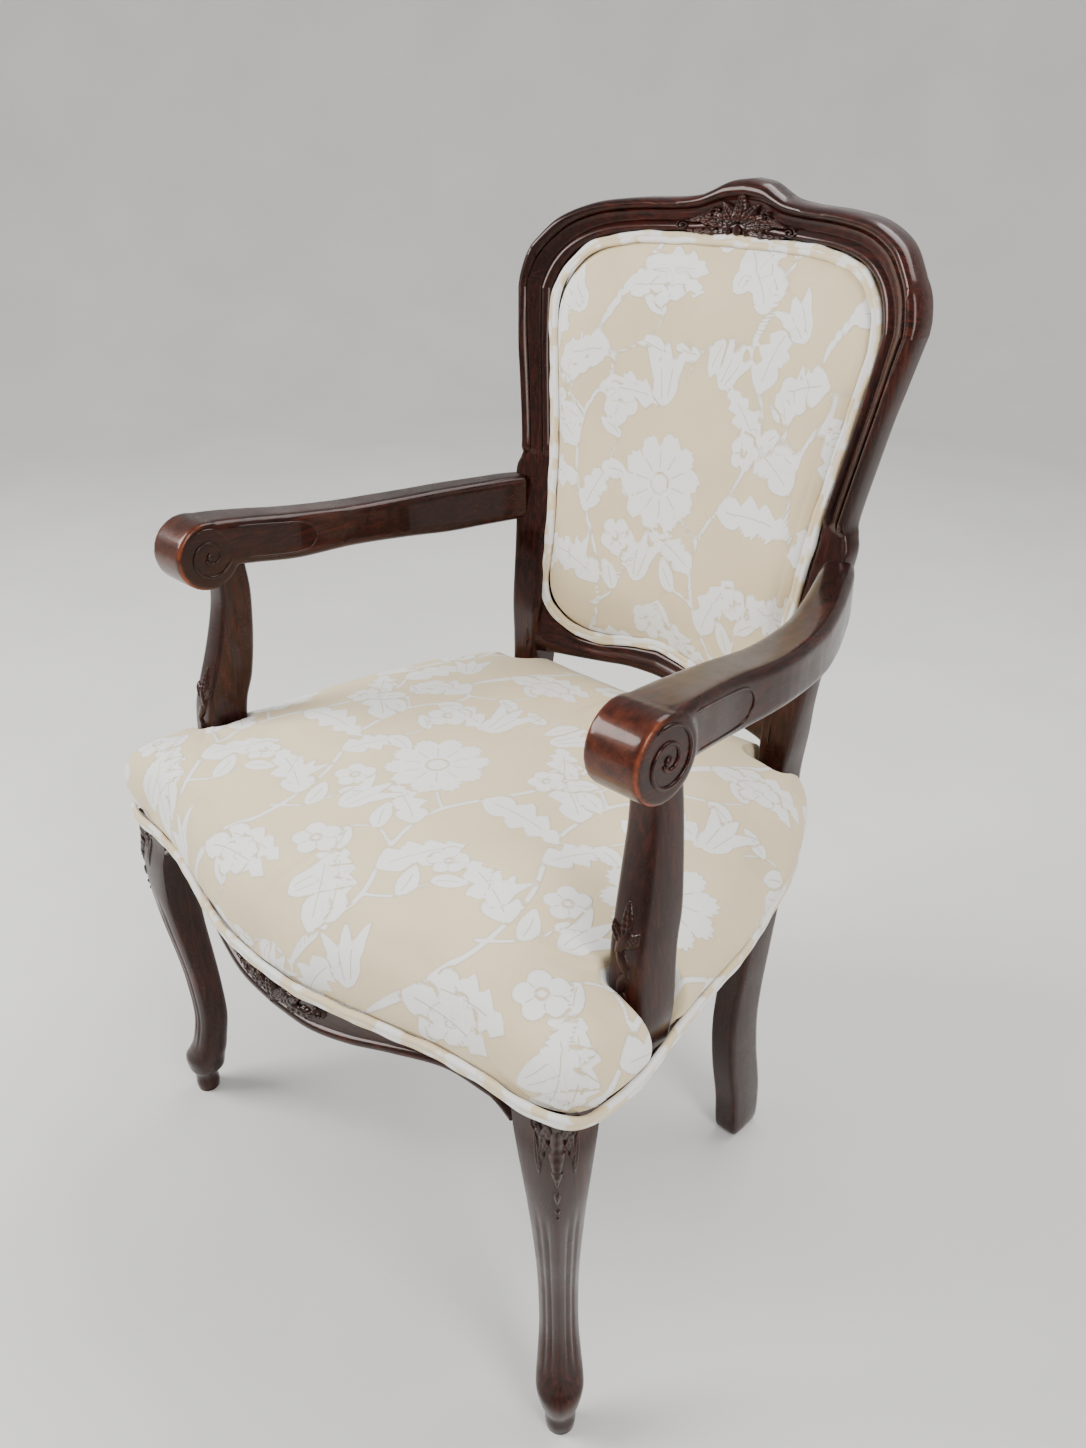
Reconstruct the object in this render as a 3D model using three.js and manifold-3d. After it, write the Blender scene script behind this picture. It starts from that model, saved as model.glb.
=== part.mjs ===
// Upholstered open armchair: a show-wood frame with cabriole front legs, scrolled arms and a
// bowed, padded back, and an overstuffed seat. Millimetres, +Z up, the sitter looks along -Y.
import * as THREE from 'three';
import { mergeVertices } from 'three/addons/utils/BufferGeometryUtils.js';
import Module from 'manifold-3d';

const wasm = await Module();
wasm.setup();

// ---------------------------------------------------------------- driving dimensions
const GAP = 0.3; // clearance between pieces that touch
const RAIL_SHOULDER = 401; // top of the show wood, where the seat fabric ends
const RAIL_TOP = 425; // top of the hidden part of the rails
const RABBET = 10; // how far the hidden part stands back
const RAIL_THICKNESS = 28;
const SEAT_CENTRE_Y = -60; // seat outlines grow and shrink about this point
const BACK_CENTRE_Z = 735; // back outlines grow and shrink about this height
const BACK_RAKE = 0.217; // how far the back leans back per unit of height
const BACK_KNEE = new THREE.Vector2(209, 680); // a point (y, z) on the line of the back's face
const BACK_BOW = { bottom: 42, top: 58, low: 520, high: 1000, halfWidth: 232 };
const FRAME_THICKNESS = 26; // back frame, front to back
const FRONT_FOOT = new THREE.Vector2(300, -261);
const LEG_BLOCK = { x: 286.6, y: -247.6, half: 24.7 }; // square top of a front leg
const SCROLL = { x: 294, y: -165, z: 668, radius: 35, width: 50 };
const ARM_DOWEL = { x: 287, y: -140, bottom: 640, top: 672, radius: 8 };
const WELT = { height: 10, z: 401.6 };

// Half of the seat's outline at the welt, from the middle of the front to the middle of the back.
const SEAT_OUTLINE = [
  [0, -324], [50, -322], [98, -313], [145, -301], [193, -289], [240, -283], [285, -280],
  [315, -271], [330, -250], [330, -200], [320, -150], [311, -99], [301, -29], [285, 32],
  [268, 90], [246, 140], [222, 186], [190, 203], [100, 206], [0, 207],
];
// Half of the padded opening in the back, (x, z), from the middle of the top to the bottom.
const BACK_OUTLINE = [
  [0, 948], [70, 947], [120, 945], [150, 940], [176, 931], [194, 912], [203, 895], [207, 871],
  [201, 829], [191, 765], [184, 722], [177, 655], [172, 600], [171, 565], [166, 541],
  [150, 523], [116, 508], [79, 507], [40, 514], [0, 519],
];

// ---------------------------------------------------------------- geometry helpers
function catmull(a, b, c, d, t) {
  const cubic = (3 * b - a - 3 * c + d) * t * t * t;
  return 0.5 * (2 * b + (c - a) * t + (2 * a - 5 * b + 4 * c - d) * t * t + cubic);
}

// Rows of numbers, smoothly filled in with `steps` rows for each one given.
function smoothRows(rows, steps) {
  const filled = [];
  for (let i = 0; i < rows.length - 1; i++) {
    const before = rows[Math.max(i - 1, 0)];
    const after = rows[Math.min(i + 2, rows.length - 1)];
    for (let s = 0; s < steps; s++) {
      const t = s / steps;
      filled.push(rows[i].map((b, k) => catmull(before[k], b, rows[i + 1][k], after[k], t)));
    }
  }
  filled.push(rows[rows.length - 1]);
  return filled;
}

// A full outline of `count` points from a half outline, mirrored in x.
function mirroredOutline(half, count) {
  const right = half.map(([x, v]) => new THREE.Vector3(x, v, 0));
  const left = half.slice(1, -1).reverse().map(([x, v]) => new THREE.Vector3(-x, v, 0));
  const curve = new THREE.CatmullRomCurve3([...right, ...left], true, 'centripetal');
  return curve.getSpacedPoints(count).slice(0, count);
}

function signedVolume(positions, faces) {
  const corners = [new THREE.Vector3(), new THREE.Vector3(), new THREE.Vector3()];
  let total = 0;
  for (let f = 0; f < faces.length; f += 3) {
    corners.forEach((corner, k) => corner.fromArray(positions, faces[f + k] * 3));
    total += corners[0].dot(corners[1].clone().cross(corners[2])) / 6;
  }
  return total;
}

function closedGeometry(positions, faces) {
  const inward = signedVolume(positions, faces) < 0;
  const index = inward ? faces.slice().reverse() : faces;
  const geometry = new THREE.BufferGeometry();
  geometry.setAttribute('position', new THREE.Float32BufferAttribute(positions, 3));
  geometry.setIndex(index);
  return geometry;
}

// A closed skin over a row of rings. An open row gets a cap at each end; a closed row joins up.
function loft(rings, joined = false) {
  const count = rings[0].length;
  const positions = rings.flat().flatMap((p) => [p.x, p.y, p.z]);
  const faces = [];
  const spans = joined ? rings.length : rings.length - 1;
  for (let i = 0; i < spans; i++) {
    const next = (i + 1) % rings.length;
    for (let j = 0; j < count; j++) {
      const k = (j + 1) % count;
      const [a, b, c, d] = [i * count + j, i * count + k, next * count + k, next * count + j];
      faces.push(a, b, c, a, c, d);
    }
  }
  if (!joined) {
    [[0, 1], [rings.length - 1, 0]].forEach(([ring, flip]) => {
      const centre = new THREE.Vector3();
      rings[ring].forEach((p) => centre.addScaledVector(p, 1 / count));
      const hub = positions.push(centre.x, centre.y, centre.z) / 3 - 1;
      for (let j = 0; j < count; j++) {
        const [a, b] = [ring * count + j, ring * count + ((j + 1) % count)];
        faces.push(...(flip ? [hub, b, a] : [hub, a, b]));
      }
    });
  }
  return closedGeometry(positions, faces);
}

function solid(geometry) {
  const bare = geometry.clone();
  ['normal', 'uv'].forEach((name) => bare.deleteAttribute(name));
  const merged = mergeVertices(bare, 1e-4);
  return new wasm.Manifold(new wasm.Mesh({
    numProp: 3,
    vertProperties: new Float32Array(merged.attributes.position.array),
    triVerts: new Uint32Array(merged.index.array),
  }));
}

function geometryOf(body) {
  const mesh = body.getMesh();
  const geometry = new THREE.BufferGeometry();
  geometry.setAttribute('position', new THREE.Float32BufferAttribute(mesh.vertProperties, 3));
  geometry.setIndex([...mesh.triVerts]);
  return geometry;
}

const cutAll = (body, tools) => tools.reduce((left, tool) => left.subtract(tool), body);

const bothSidesOf = (body) => [body, solid(mirrored(geometryOf(body)))];

function boxSolid(min, max, grow = 0) {
  const size = min.map((low, k) => max[k] - low + 2 * grow);
  const box = new THREE.BoxGeometry(...size);
  box.translate(...min.map((low, k) => (low + max[k]) / 2));
  return solid(box);
}

function mirrored(geometry) {
  const copy = geometry.clone().scale(-1, 1, 1);
  copy.setIndex([...copy.index.array].reverse());
  return copy;
}

// Points of a rectangle with rounded corners, as (u, v) pairs round the middle.
function roundedRect(halfU, halfV, radius, perCorner = 3) {
  const points = [];
  [[1, 1], [-1, 1], [-1, -1], [1, -1]].forEach(([su, sv], corner) => {
    for (let i = 0; i < perCorner; i++) {
      const angle = (corner + i / (perCorner - 1)) * Math.PI / 2;
      points.push([
        su * (halfU - radius) + radius * Math.cos(angle),
        sv * (halfV - radius) + radius * Math.sin(angle),
      ]);
    }
  });
  return points;
}

// Plan directions of a path given as rows that start with (x, y).
function planNormals(rows) {
  return rows.map((_, i) => {
    const a = rows[Math.max(i - 1, 0)];
    const b = rows[Math.min(i + 1, rows.length - 1)];
    return new THREE.Vector2(b[1] - a[1], a[0] - b[0]).normalize();
  });
}

// ---------------------------------------------------------------- screws and dowels
function screwGeometry(length, radius, grow = 0) {
  const head = radius * 2;
  const profile = [
    [0, 0], [head + grow, 0], [head + grow, radius * 0.5], [radius + grow, radius * 1.6],
    [radius + grow, length - radius * 2], [0, length + grow],
  ].map(([r, z]) => new THREE.Vector2(r, z));
  return new THREE.LatheGeometry(profile, 6).rotateX(Math.PI / 2);
}

// A wood screw whose head's flat face lies at `from`, driven along `direction`.
function screwAt(from, direction, length, radius, grow = 0) {
  const turn = new THREE.Quaternion().setFromUnitVectors(
    new THREE.Vector3(0, 0, 1), direction.clone().normalize());
  return screwGeometry(length, radius, grow).applyQuaternion(turn).translate(...from);
}

// The hole for such a screw: the screw itself, larger all round, and a way in for its head.
function screwHole(from, direction, length, radius) {
  const way = new THREE.CylinderGeometry(radius * 2 + GAP, radius * 2 + GAP, 40, 8);
  way.rotateX(Math.PI / 2).translate(0, 0, -19.9);
  const turn = new THREE.Quaternion().setFromUnitVectors(
    new THREE.Vector3(0, 0, 1), direction.clone().normalize());
  way.applyQuaternion(turn).translate(...from);
  return solid(screwAt(from, direction, length, radius, GAP)).add(solid(way));
}

function dowel(spec, grow = 0) {
  const height = spec.top - spec.bottom + 2 * grow;
  const rod = new THREE.CylinderGeometry(spec.radius + grow, spec.radius + grow, height, 12);
  rod.rotateX(Math.PI / 2).translate(spec.x, spec.y, (spec.top + spec.bottom) / 2);
  return solid(rod);
}

// ---------------------------------------------------------------- surface of the back
// The face of the back leans, and bows backwards in plan between the posts.
function backFaceY(x, z) {
  const span = (z - BACK_BOW.low) / (BACK_BOW.high - BACK_BOW.low);
  const bow = BACK_BOW.bottom + span * (BACK_BOW.top - BACK_BOW.bottom);
  const across = Math.min(1, (x / BACK_BOW.halfWidth) ** 2);
  return BACK_KNEE.x + BACK_RAKE * (z - BACK_KNEE.y) + bow * (1 - across);
}

const onBack = (x, z, depth) => new THREE.Vector3(x, backFaceY(x, z) + depth, z);
const backLoop = mirroredOutline(BACK_OUTLINE, 32);

function backRing(scale, depth) {
  return backLoop.map((p) => onBack(
    p.x * scale, BACK_CENTRE_Z + (p.y - BACK_CENTRE_Z) * scale, depth));
}

const backOpening = solid(loft([backRing(1, -40), backRing(1, 60)]));

// ---------------------------------------------------------------- rear posts
// One sawn piece from the floor to the crest rail: [height, outer x, width, front y, depth].
const POST_ROWS = [
  [0, 219, 24, 118, 36], [10, 222, 29, 111, 46], [55, 221, 30, 109, 49], [110, 219, 30, 101, 50],
  [158, 217, 30, 99, 50], [198, 215, 30, 105, 50], [248, 214, 30, 117, 49],
  [300, 212, 30, 131, 48], [360, 207, 30, 149, 47], [410, 201, 30, 166, 46],
  [450, 198, 31, 177, 44], [490, 202, 38, 183, 40], [540, 207, 44, backFaceY(190, 540), 35],
  [633, 216, 48, backFaceY(195, 633), 30], [684, 223, 50, backFaceY(198, 684), 28],
  [702, 219, 44, backFaceY(198, 702), 27], [719, 217, 40, backFaceY(199, 719), 26],
  [785, 228, 42, backFaceY(208, 785), 26], [827, 236, 44, backFaceY(216, 827), 26],
  [884, 247, 48, backFaceY(226, 884), 26],
];

function postSolid(grow = 0) {
  const rings = POST_ROWS.map(([z, outer, width, front, depth]) => {
    const section = roundedRect(width / 2 + grow, depth / 2 + grow, 5);
    return section.map(([u, v]) => new THREE.Vector3(outer - width / 2 + u, front + depth / 2 + v, z));
  });
  return solid(loft(rings));
}

// ---------------------------------------------------------------- back rails
// A bar of the back frame from stations [inner x, inner z, outer x, outer z].
function backBar(stations, thickness, round) {
  const rings = stations.map(([ix, iz, ox, oz]) => {
    const at = (share, depth) => onBack(ix + (ox - ix) * share, iz + (oz - iz) * share, depth);
    return [
      at(0, round), at(0.12, 0), at(0.5, -2), at(0.88, 0), at(1, round),
      at(1, thickness - round), at(0.9, thickness), at(0.1, thickness), at(0, thickness - round),
    ];
  });
  return solid(loft(rings));
}

// The stations of half a bar, followed by their mirror images.
function wholeBar(half) {
  const left = half.slice(0, -1).reverse().map(([ix, iz, ox, oz]) => [-ix, iz, -ox, oz]);
  return backBar([...half, ...left], FRAME_THICKNESS, 4);
}

const CREST_STATIONS = [
  [198, 884.6, 247, 884.6], [194, 905, 245, 908], [182, 922, 230, 934], [166, 932, 205, 960],
  [146, 936, 170, 972], [116, 940, 125, 977], [80, 942, 82, 979], [46, 943, 46, 986],
  [22, 943, 22, 996], [0, 943, 0, 1000],
];
const BOTTOM_RAIL_STATIONS = [
  [180, 556, 180, 474], [160, 545, 160, 477], [140, 526, 140, 479], [103, 512, 103, 482],
  [66, 514, 66, 486], [30, 521, 30, 490], [0, 524, 0, 491],
];

// ---------------------------------------------------------------- front legs
// [height, offset outwards along the diagonal, half depth on it, half width across it, fullness]
const LEG_ROWS = [
  [0, 0, 11, 12, 1.6], [14, 0, 13, 13.5, 1.6], [30, -2, 21, 17.5, 1.7], [50, -4, 23, 21, 1.6],
  [75, -12, 20, 20, 1.5], [115, -19, 19.5, 17.5, 1.5], [162, -18, 20, 17.5, 1.5],
  [200, -15, 21, 18.5, 1.45], [253, -9, 23.5, 21.5, 1.4], [300, -6, 26, 25, 1.3],
  [345, -11, 31, 31, 1.15], [375, -18, 34.4, 34.4, 1.03], [RAIL_SHOULDER, -19, 34.9, 34.9, 1],
];
const LEG_SIDES = 12;

function frontLegSolid() {
  const rings = smoothRows(LEG_ROWS, 2).map(([z, offset, halfDepth, halfWidth, fullness]) => {
    const ring = [];
    for (let i = 0; i < LEG_SIDES; i++) {
      const angle = (i / LEG_SIDES) * Math.PI * 2;
      const [c, s] = [Math.cos(angle), Math.sin(angle)];
      const reach = (Math.abs(c) ** fullness + Math.abs(s) ** fullness) ** (-1 / fullness);
      const out = (offset + halfDepth * c * reach) * Math.SQRT1_2;
      const across = halfWidth * s * reach * Math.SQRT1_2;
      ring.push(new THREE.Vector3(
        FRONT_FOOT.x + out + across, FRONT_FOOT.y - out + across, z));
    }
    return ring;
  });
  const inner = LEG_BLOCK.half - 1.5 * RABBET;
  const top = boxSolid(
    [LEG_BLOCK.x - LEG_BLOCK.half, LEG_BLOCK.y - inner, RAIL_SHOULDER - 1],
    [LEG_BLOCK.x + inner, LEG_BLOCK.y + LEG_BLOCK.half, RAIL_TOP]);
  return solid(loft(rings)).add(top);
}

// ---------------------------------------------------------------- seat rails
// A rail along a plan path of rows [x, y, lower edge]: the outer face is on the path.
function railSolid(rows, grow = 0) {
  const normals = planNormals(rows);
  const rings = rows.map(([x, y, low], i) => {
    const section = [
      [grow, low - grow + 5], [grow, RAIL_SHOULDER - 4], [grow - 3, RAIL_SHOULDER + grow],
      [grow - RABBET, RAIL_SHOULDER + grow], [grow - RABBET, RAIL_TOP + grow],
      [-RAIL_THICKNESS - grow, RAIL_TOP + grow], [-RAIL_THICKNESS - grow, low - grow],
      [-4, low - grow],
    ];
    return section.map(([out, z]) => new THREE.Vector3(
      x + normals[i].x * out, y + normals[i].y * out, z));
  });
  return solid(loft(rings));
}

const REAR_RAIL_BOX = [[-190, 172, 365], [190, 193, RAIL_TOP]];
const FRONT_RAIL_HALF = [
  [261.5, -272.5, 372], [235, -275, 379], [193, -280, 380], [143, -294, 372], [95, -306, 360],
  [50, -314, 353], [0, -316, 352],
];
const SIDE_RAIL_ROWS = [
  [311.5, -222.5, 372], [315, -192, 378], [310, -150, 381], [302, -99, 380], [291, -29, 379],
  [273, 32, 377], [249, 90, 373], [224, 138, 366], [204, 172, 362],
];

function frontRailRows() {
  const left = FRONT_RAIL_HALF.map(([x, y, low]) => [-x, y, low]);
  return [...left, ...FRONT_RAIL_HALF.slice(0, -1).reverse()];
}

// Tenons: [low corner, high corner] on the +X side.
const TENONS = {
  frontRail: [[255, -265, 385], [280, -253, 416]],
  sideRailFront: [[290.5, -240, 385], [300, -215, 416]],
  sideRailRear: [[182, 150, 385], [192, 176, 412]],
  rearRail: [[160, 177, 385], [188, 189, 412]],
  crestRail: [[212, 264, 870], [234, 273, 900]],
  bottomRail: [[155, 200, 498], [184, 209, 520]],
};
const tenon = (name, grow = 0) => boxSolid(...TENONS[name], grow);

function bothTenons(name, grow = 0) {
  const [right, left] = bothSidesOf(tenon(name, grow));
  return right.add(left);
}

// ---------------------------------------------------------------- arms and their supports
// Plan path and height of an arm: [x, y, top, bottom, half width].
const ARM_ROWS = [
  [294, -165, 703, 652, 24.5], [289, -122, 699, 648, 23], [283, -61, 690, 640, 22],
  [281, 8, 681, 636, 21.5], [270, 78, 678, 630, 20], [254, 128, 679, 627, 19],
  [238, 168, 680, 628, 18], [224, 200, 681, 629, 17], [214, 222, 681, 630, 16],
];
// Height, centre and half sizes of a support: [z, x, y, half x, half y].
const SUPPORT_ROWS = [
  [411, 303, -167, 16, 17], [440, 303, -167, 18, 22], [491, 300, -162, 17, 24],
  [521, 297, -154, 16.5, 25], [558, 293, -146, 16, 22], [595, 290, -140, 15, 19],
  [622, 288, -138, 14.5, 17.5], [656, 287, -140, 14, 16],
];

function armBody(grow = 0) {
  const rows = smoothRows(ARM_ROWS, 2);
  const normals = planNormals(rows);
  const rings = rows.map(([x, y, top, bottom, half], i) => {
    const section = roundedRect(half + grow, (top - bottom) / 2 + grow, 12);
    return section.map(([u, v]) => new THREE.Vector3(
      x + normals[i].x * u, y + normals[i].y * u, (top + bottom) / 2 + v));
  });
  const drum = new THREE.CylinderGeometry(
    SCROLL.radius + grow, SCROLL.radius + grow, SCROLL.width + 2 * grow, 20);
  drum.rotateZ(Math.PI / 2).translate(SCROLL.x, SCROLL.y, SCROLL.z);
  return solid(loft(rings)).add(solid(drum));
}

function supportBody(grow = 0) {
  const rings = smoothRows(SUPPORT_ROWS, 2).map(([z, x, y, halfX, halfY], i) => {
    const section = roundedRect(halfX + grow, halfY + grow, 6);
    const height = i === 0 ? z - grow : z;
    return section.map(([u, v]) => new THREE.Vector3(x + u, y + v, height));
  });
  return solid(loft(rings));
}

const ARM_SCREW = { from: new THREE.Vector3(186, 243, 655), toward: new THREE.Vector3(0.75, -0.66, 0) };
const SUPPORT_SCREW = { from: new THREE.Vector3(299, -167, 388), toward: new THREE.Vector3(0, 0, 1) };
const LONG_SCREW = [58, 2.6];

// ---------------------------------------------------------------- corner blocks
// Plan outlines of the blocks glued inside the seat frame, before the rails and legs are cut out.
const CORNER_BLOCKS = {
  front: [[214, -253], [263, -253], [263, -221], [288, -221], [288, -168], [276, -168],
    [214, -238]],
  rear: [[120, 177], [172, 177], [172, 150], [186, 150], [204, 122], [224, 84], [214, 80],
    [120, 164]],
};
// Screws of the blocks: [x, y, direction x, direction y, length], into the rail beyond.
const BLOCK_SCREWS = {
  frontToFrontRail: [244, -203, 0, -1, 58], frontToSideRail: [252, -196, 1, 0, 48],
  rearToRearRail: [148, 140, 0, 1, 46], rearToSideRail: [196, 97, 0.88, 0.47, 36],
};
const BLOCK_SCREW_RADIUS = 2.2;
const BLOCK_LOW = 390;
const BLOCK_HIGH = 421;

function cornerBlockSolid(end) {
  const shape = new THREE.Shape(CORNER_BLOCKS[end].map(([x, y]) => new THREE.Vector2(x, y)));
  const prism = new THREE.ExtrudeGeometry(shape, {
    depth: BLOCK_HIGH - BLOCK_LOW, bevelEnabled: false, steps: 1 });
  return solid(prism.translate(0, 0, BLOCK_LOW));
}

// ---------------------------------------------------------------- seat padding
const seatLoop = mirroredOutline(SEAT_OUTLINE, 40);

function seatRing([scale, z]) {
  return seatLoop.map((p) => new THREE.Vector3(
    p.x * scale, SEAT_CENTRE_Y + (p.y - SEAT_CENTRE_Y) * scale, z));
}

const SEAT_COVER_OUTER = [
  [0.984, 404], [0.986, 412.5], [1.02, 421], [1.028, 434], [1.018, 450], [0.975, 464], [0.89, 473],
  [0.72, 481],
  [0.5, 486], [0.25, 488],
];
const SEAT_COVER_INNER = [
  [0.968, 404], [0.97, 413.5], [1.004, 423], [1.012, 434], [1.002, 448], [0.96, 460], [0.875, 468.5],
  [0.705, 476], [0.485, 481], [0.24, 483],
];
const SEAT_FOAM = [
  [0.985, 432.4], [1.004, 434], [0.995, 446], [0.955, 457.5], [0.87, 466], [0.7, 474],
  [0.48, 479.5], [0.24, 481.6],
];
const BACK_COVER_OUTER = [
  [0.985, 10], [0.985, 3], [0.945, 3], [0.93, -3], [0.89, -9], [0.78, -14], [0.55, -17],
  [0.28, -18],
];
const BACK_COVER_INNER = [
  [0.97, 10], [0.97, 5.5], [0.935, 5.5], [0.918, -1], [0.878, -6], [0.77, -11], [0.545, -14],
  [0.275, -15],
];
const BACK_FOAM = [
  [0.33, 10], [0.66, 10], [0.92, 10], [0.92, 3], [0.905, -1], [0.868, -5], [0.76, -10],
  [0.54, -13], [0.27, -14],
];

// A cup-shaped cover from its outer rows and inner rows, both from the open edge to the middle.
const coverLoft = (outer, inner, ring) => loft(
  [...outer.slice().reverse(), ...inner].map((row) => ring(row)));

// The double welt round the seat's lower edge, open between the rear posts.
function seatWeltGeometry() {
  const sides = seatLoop.filter((p) => p.y < 165).sort(
    (a, b) => Math.atan2(a.x, SEAT_CENTRE_Y - a.y) - Math.atan2(b.x, SEAT_CENTRE_Y - b.y));
  const normals = planNormals(sides.map((p) => [p.x, p.y]));
  const high = WELT.z + WELT.height;
  const middle = WELT.z + WELT.height / 2;
  const section = [
    [0, WELT.z], [4, WELT.z], [7, WELT.z + 2], [6.4, middle], [7, high - 2], [4, high], [0, high],
  ];
  return loft(sides.map((p, i) => section.map(([out, z]) => new THREE.Vector3(
    p.x + normals[i].x * out, p.y + normals[i].y * out, z))));
}

// The double welt round the padded opening of the back.
const BACK_WELT_SECTION = [
  [0.9485, 2.6], [0.9485, -3], [0.956, -4.8], [0.972, -3.8], [0.988, -4.8], [0.996, -3],
  [0.996, 2.6],
];

function backWeltGeometry() {
  const rings = BACK_WELT_SECTION.map(([scale, depth]) => backRing(scale, depth));
  return loft(rings, true);
}

// A sheet that follows the back's curve, between two depths.
const SHEET_SHARES = [0.985, 0.66, 0.33];
function backSheet(near, far) {
  const front = SHEET_SHARES.slice().reverse().map((scale) => backRing(scale, near));
  return loft([...front, ...SHEET_SHARES.map((scale) => backRing(scale, far))]);
}

// ---------------------------------------------------------------- seat deck
const STRAP = { width: 50, thickness: 1.4, weave: 1.1, middle: 428.2, end: 426.3 };
const DUST_COVER = { low: 386, high: 387.2, scale: 0.95 };
const LONG_STRAPS = [-126, -42, 42, 126];
const CROSS_STRAPS = [-190, -105, -20, 65];

// A webbing strap as a thin extrusion of its side view, woven over and under its crossings.
function strapGeometry(from, to, crossings, firstSide) {
  const points = [[from, STRAP.end]];
  crossings.forEach((at, i) => {
    const side = firstSide * (i % 2 ? -1 : 1);
    points.push([at - 27, STRAP.middle + side * STRAP.weave]);
    points.push([at + 27, STRAP.middle + side * STRAP.weave]);
  });
  points.push([to, STRAP.end]);
  const half = STRAP.thickness / 2;
  const outline = [
    ...points.map(([s, z]) => new THREE.Vector2(s, z - half)),
    ...points.slice().reverse().map(([s, z]) => new THREE.Vector2(s, z + half)),
  ];
  const strap = new THREE.ExtrudeGeometry(new THREE.Shape(outline), {
    depth: STRAP.width, bevelEnabled: false, steps: 1 });
  return strap.translate(0, 0, -STRAP.width / 2);
}

// ---------------------------------------------------------------- the chair
const mahogany = { color: 0x2a0c08, roughness: 0.22, metalness: 0 };
const rawBeech = { color: 0xb98a5a, roughness: 0.7, metalness: 0 };
const jacquard = { color: 0xe6dac0, roughness: 0.8, metalness: 0 };
const foam = { color: 0xe9e2c0, roughness: 0.95, metalness: 0 };
const webbing = { color: 0x9c7a4c, roughness: 0.9, metalness: 0 };
const hessian = { color: 0xa98d5e, roughness: 0.95, metalness: 0 };
const cambric = { color: 0x18181a, roughness: 0.9, metalness: 0 };
const steel = { color: 0x9a9a98, roughness: 0.35, metalness: 1 };

const chair = new THREE.Group();

function place(name, geometry, finish) {
  const mesh = new THREE.Mesh(geometry, new THREE.MeshStandardMaterial(finish));
  mesh.name = name;
  chair.add(mesh);
  return mesh;
}

// A pair of mirrored pieces: the sitter's left is +X.
function placePair(name, geometry, finish) {
  place(`${name}_left`, geometry, finish);
  place(`${name}_right`, mirrored(geometry), finish);
}

function addFrame() {
  const post = postSolid();
  const postRoom = postSolid(GAP);
  const arm = armBody();
  const armRoom = armBody(GAP);
  const support = supportBody();
  const sideRows = SIDE_RAIL_ROWS;
  const sideRoom = railSolid(sideRows, GAP);
  const armScrewHole = screwHole(ARM_SCREW.from, ARM_SCREW.toward, ...LONG_SCREW);
  const supportScrewHole = screwHole(SUPPORT_SCREW.from, SUPPORT_SCREW.toward, ...LONG_SCREW);

  const mortises = ['sideRailRear', 'rearRail', 'crestRail', 'bottomRail'];
  const finishedPost = cutAll(post, [
    ...mortises.map((name) => tenon(name, GAP)), backOpening, armScrewHole]);
  placePair('rear_post', geometryOf(finishedPost), mahogany);

  const leg = cutAll(frontLegSolid(), [tenon('frontRail', GAP), tenon('sideRailFront', GAP)]);
  placePair('front_leg', geometryOf(leg), mahogany);

  const front = cutAll(railSolid(frontRailRows()).add(bothTenons('frontRail')),
    bothSidesOf(blockScrewHole('frontToFrontRail')));
  place('front_seat_rail', geometryOf(front), mahogany);
  const side = cutAll(railSolid(sideRows), [postRoom, supportBody(GAP), supportScrewHole,
    blockScrewHole('frontToSideRail'), blockScrewHole('rearToSideRail')])
    .add(tenon('sideRailFront')).add(tenon('sideRailRear'));
  placePair('side_seat_rail', geometryOf(side), mahogany);
  const rear = cutAll(boxSolid(...REAR_RAIL_BOX), [...bothSidesOf(postRoom),
    ...bothSidesOf(sideRoom)]).add(bothTenons('rearRail'));
  const rearDrilled = cutAll(rear, bothSidesOf(blockScrewHole('rearToRearRail')));
  place('rear_seat_rail', geometryOf(rearDrilled), mahogany);

  const crest = cutAll(wholeBar(CREST_STATIONS), [backOpening]).add(bothTenons('crestRail'));
  place('crest_rail', geometryOf(crest), mahogany);
  const bottom = cutAll(wholeBar(BOTTOM_RAIL_STATIONS), [backOpening, ...bothSidesOf(postRoom)])
    .add(bothTenons('bottomRail'));
  place('back_bottom_rail', geometryOf(bottom), mahogany);

  const finishedArm = cutAll(arm, [postRoom, dowel(ARM_DOWEL, GAP), armScrewHole]);
  placePair('arm', geometryOf(finishedArm), mahogany);
  const finishedSupport = cutAll(support, [armRoom, supportScrewHole]).add(dowel(ARM_DOWEL));
  placePair('arm_support', geometryOf(finishedSupport), mahogany);
}

function blockScrewPlace(name) {
  const [x, y, dx, dy, length] = BLOCK_SCREWS[name];
  const from = new THREE.Vector3(x, y, (BLOCK_LOW + BLOCK_HIGH) / 2);
  return [from, new THREE.Vector3(dx, dy, 0), length, BLOCK_SCREW_RADIUS];
}

const blockScrewHole = (name) => screwHole(...blockScrewPlace(name));

function addCornerBlocks() {
  const { x, y, half } = LEG_BLOCK;
  const legRoom = boxSolid([x - half, y - half, 300], [x + half, y + half, 440], GAP);
  const frontRoom = railSolid(frontRailRows(), GAP);
  const sideRoom = railSolid(SIDE_RAIL_ROWS, GAP);
  const rearRoom = boxSolid(...REAR_RAIL_BOX, GAP);
  const front = cutAll(cornerBlockSolid('front'), [legRoom, frontRoom, sideRoom,
    blockScrewHole('frontToFrontRail'), blockScrewHole('frontToSideRail')]);
  placePair('corner_block_front', geometryOf(front), rawBeech);
  const rear = cutAll(cornerBlockSolid('rear'), [rearRoom, sideRoom, postSolid(GAP),
    blockScrewHole('rearToRearRail'), blockScrewHole('rearToSideRail')]);
  placePair('corner_block_rear', geometryOf(rear), rawBeech);
}

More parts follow.
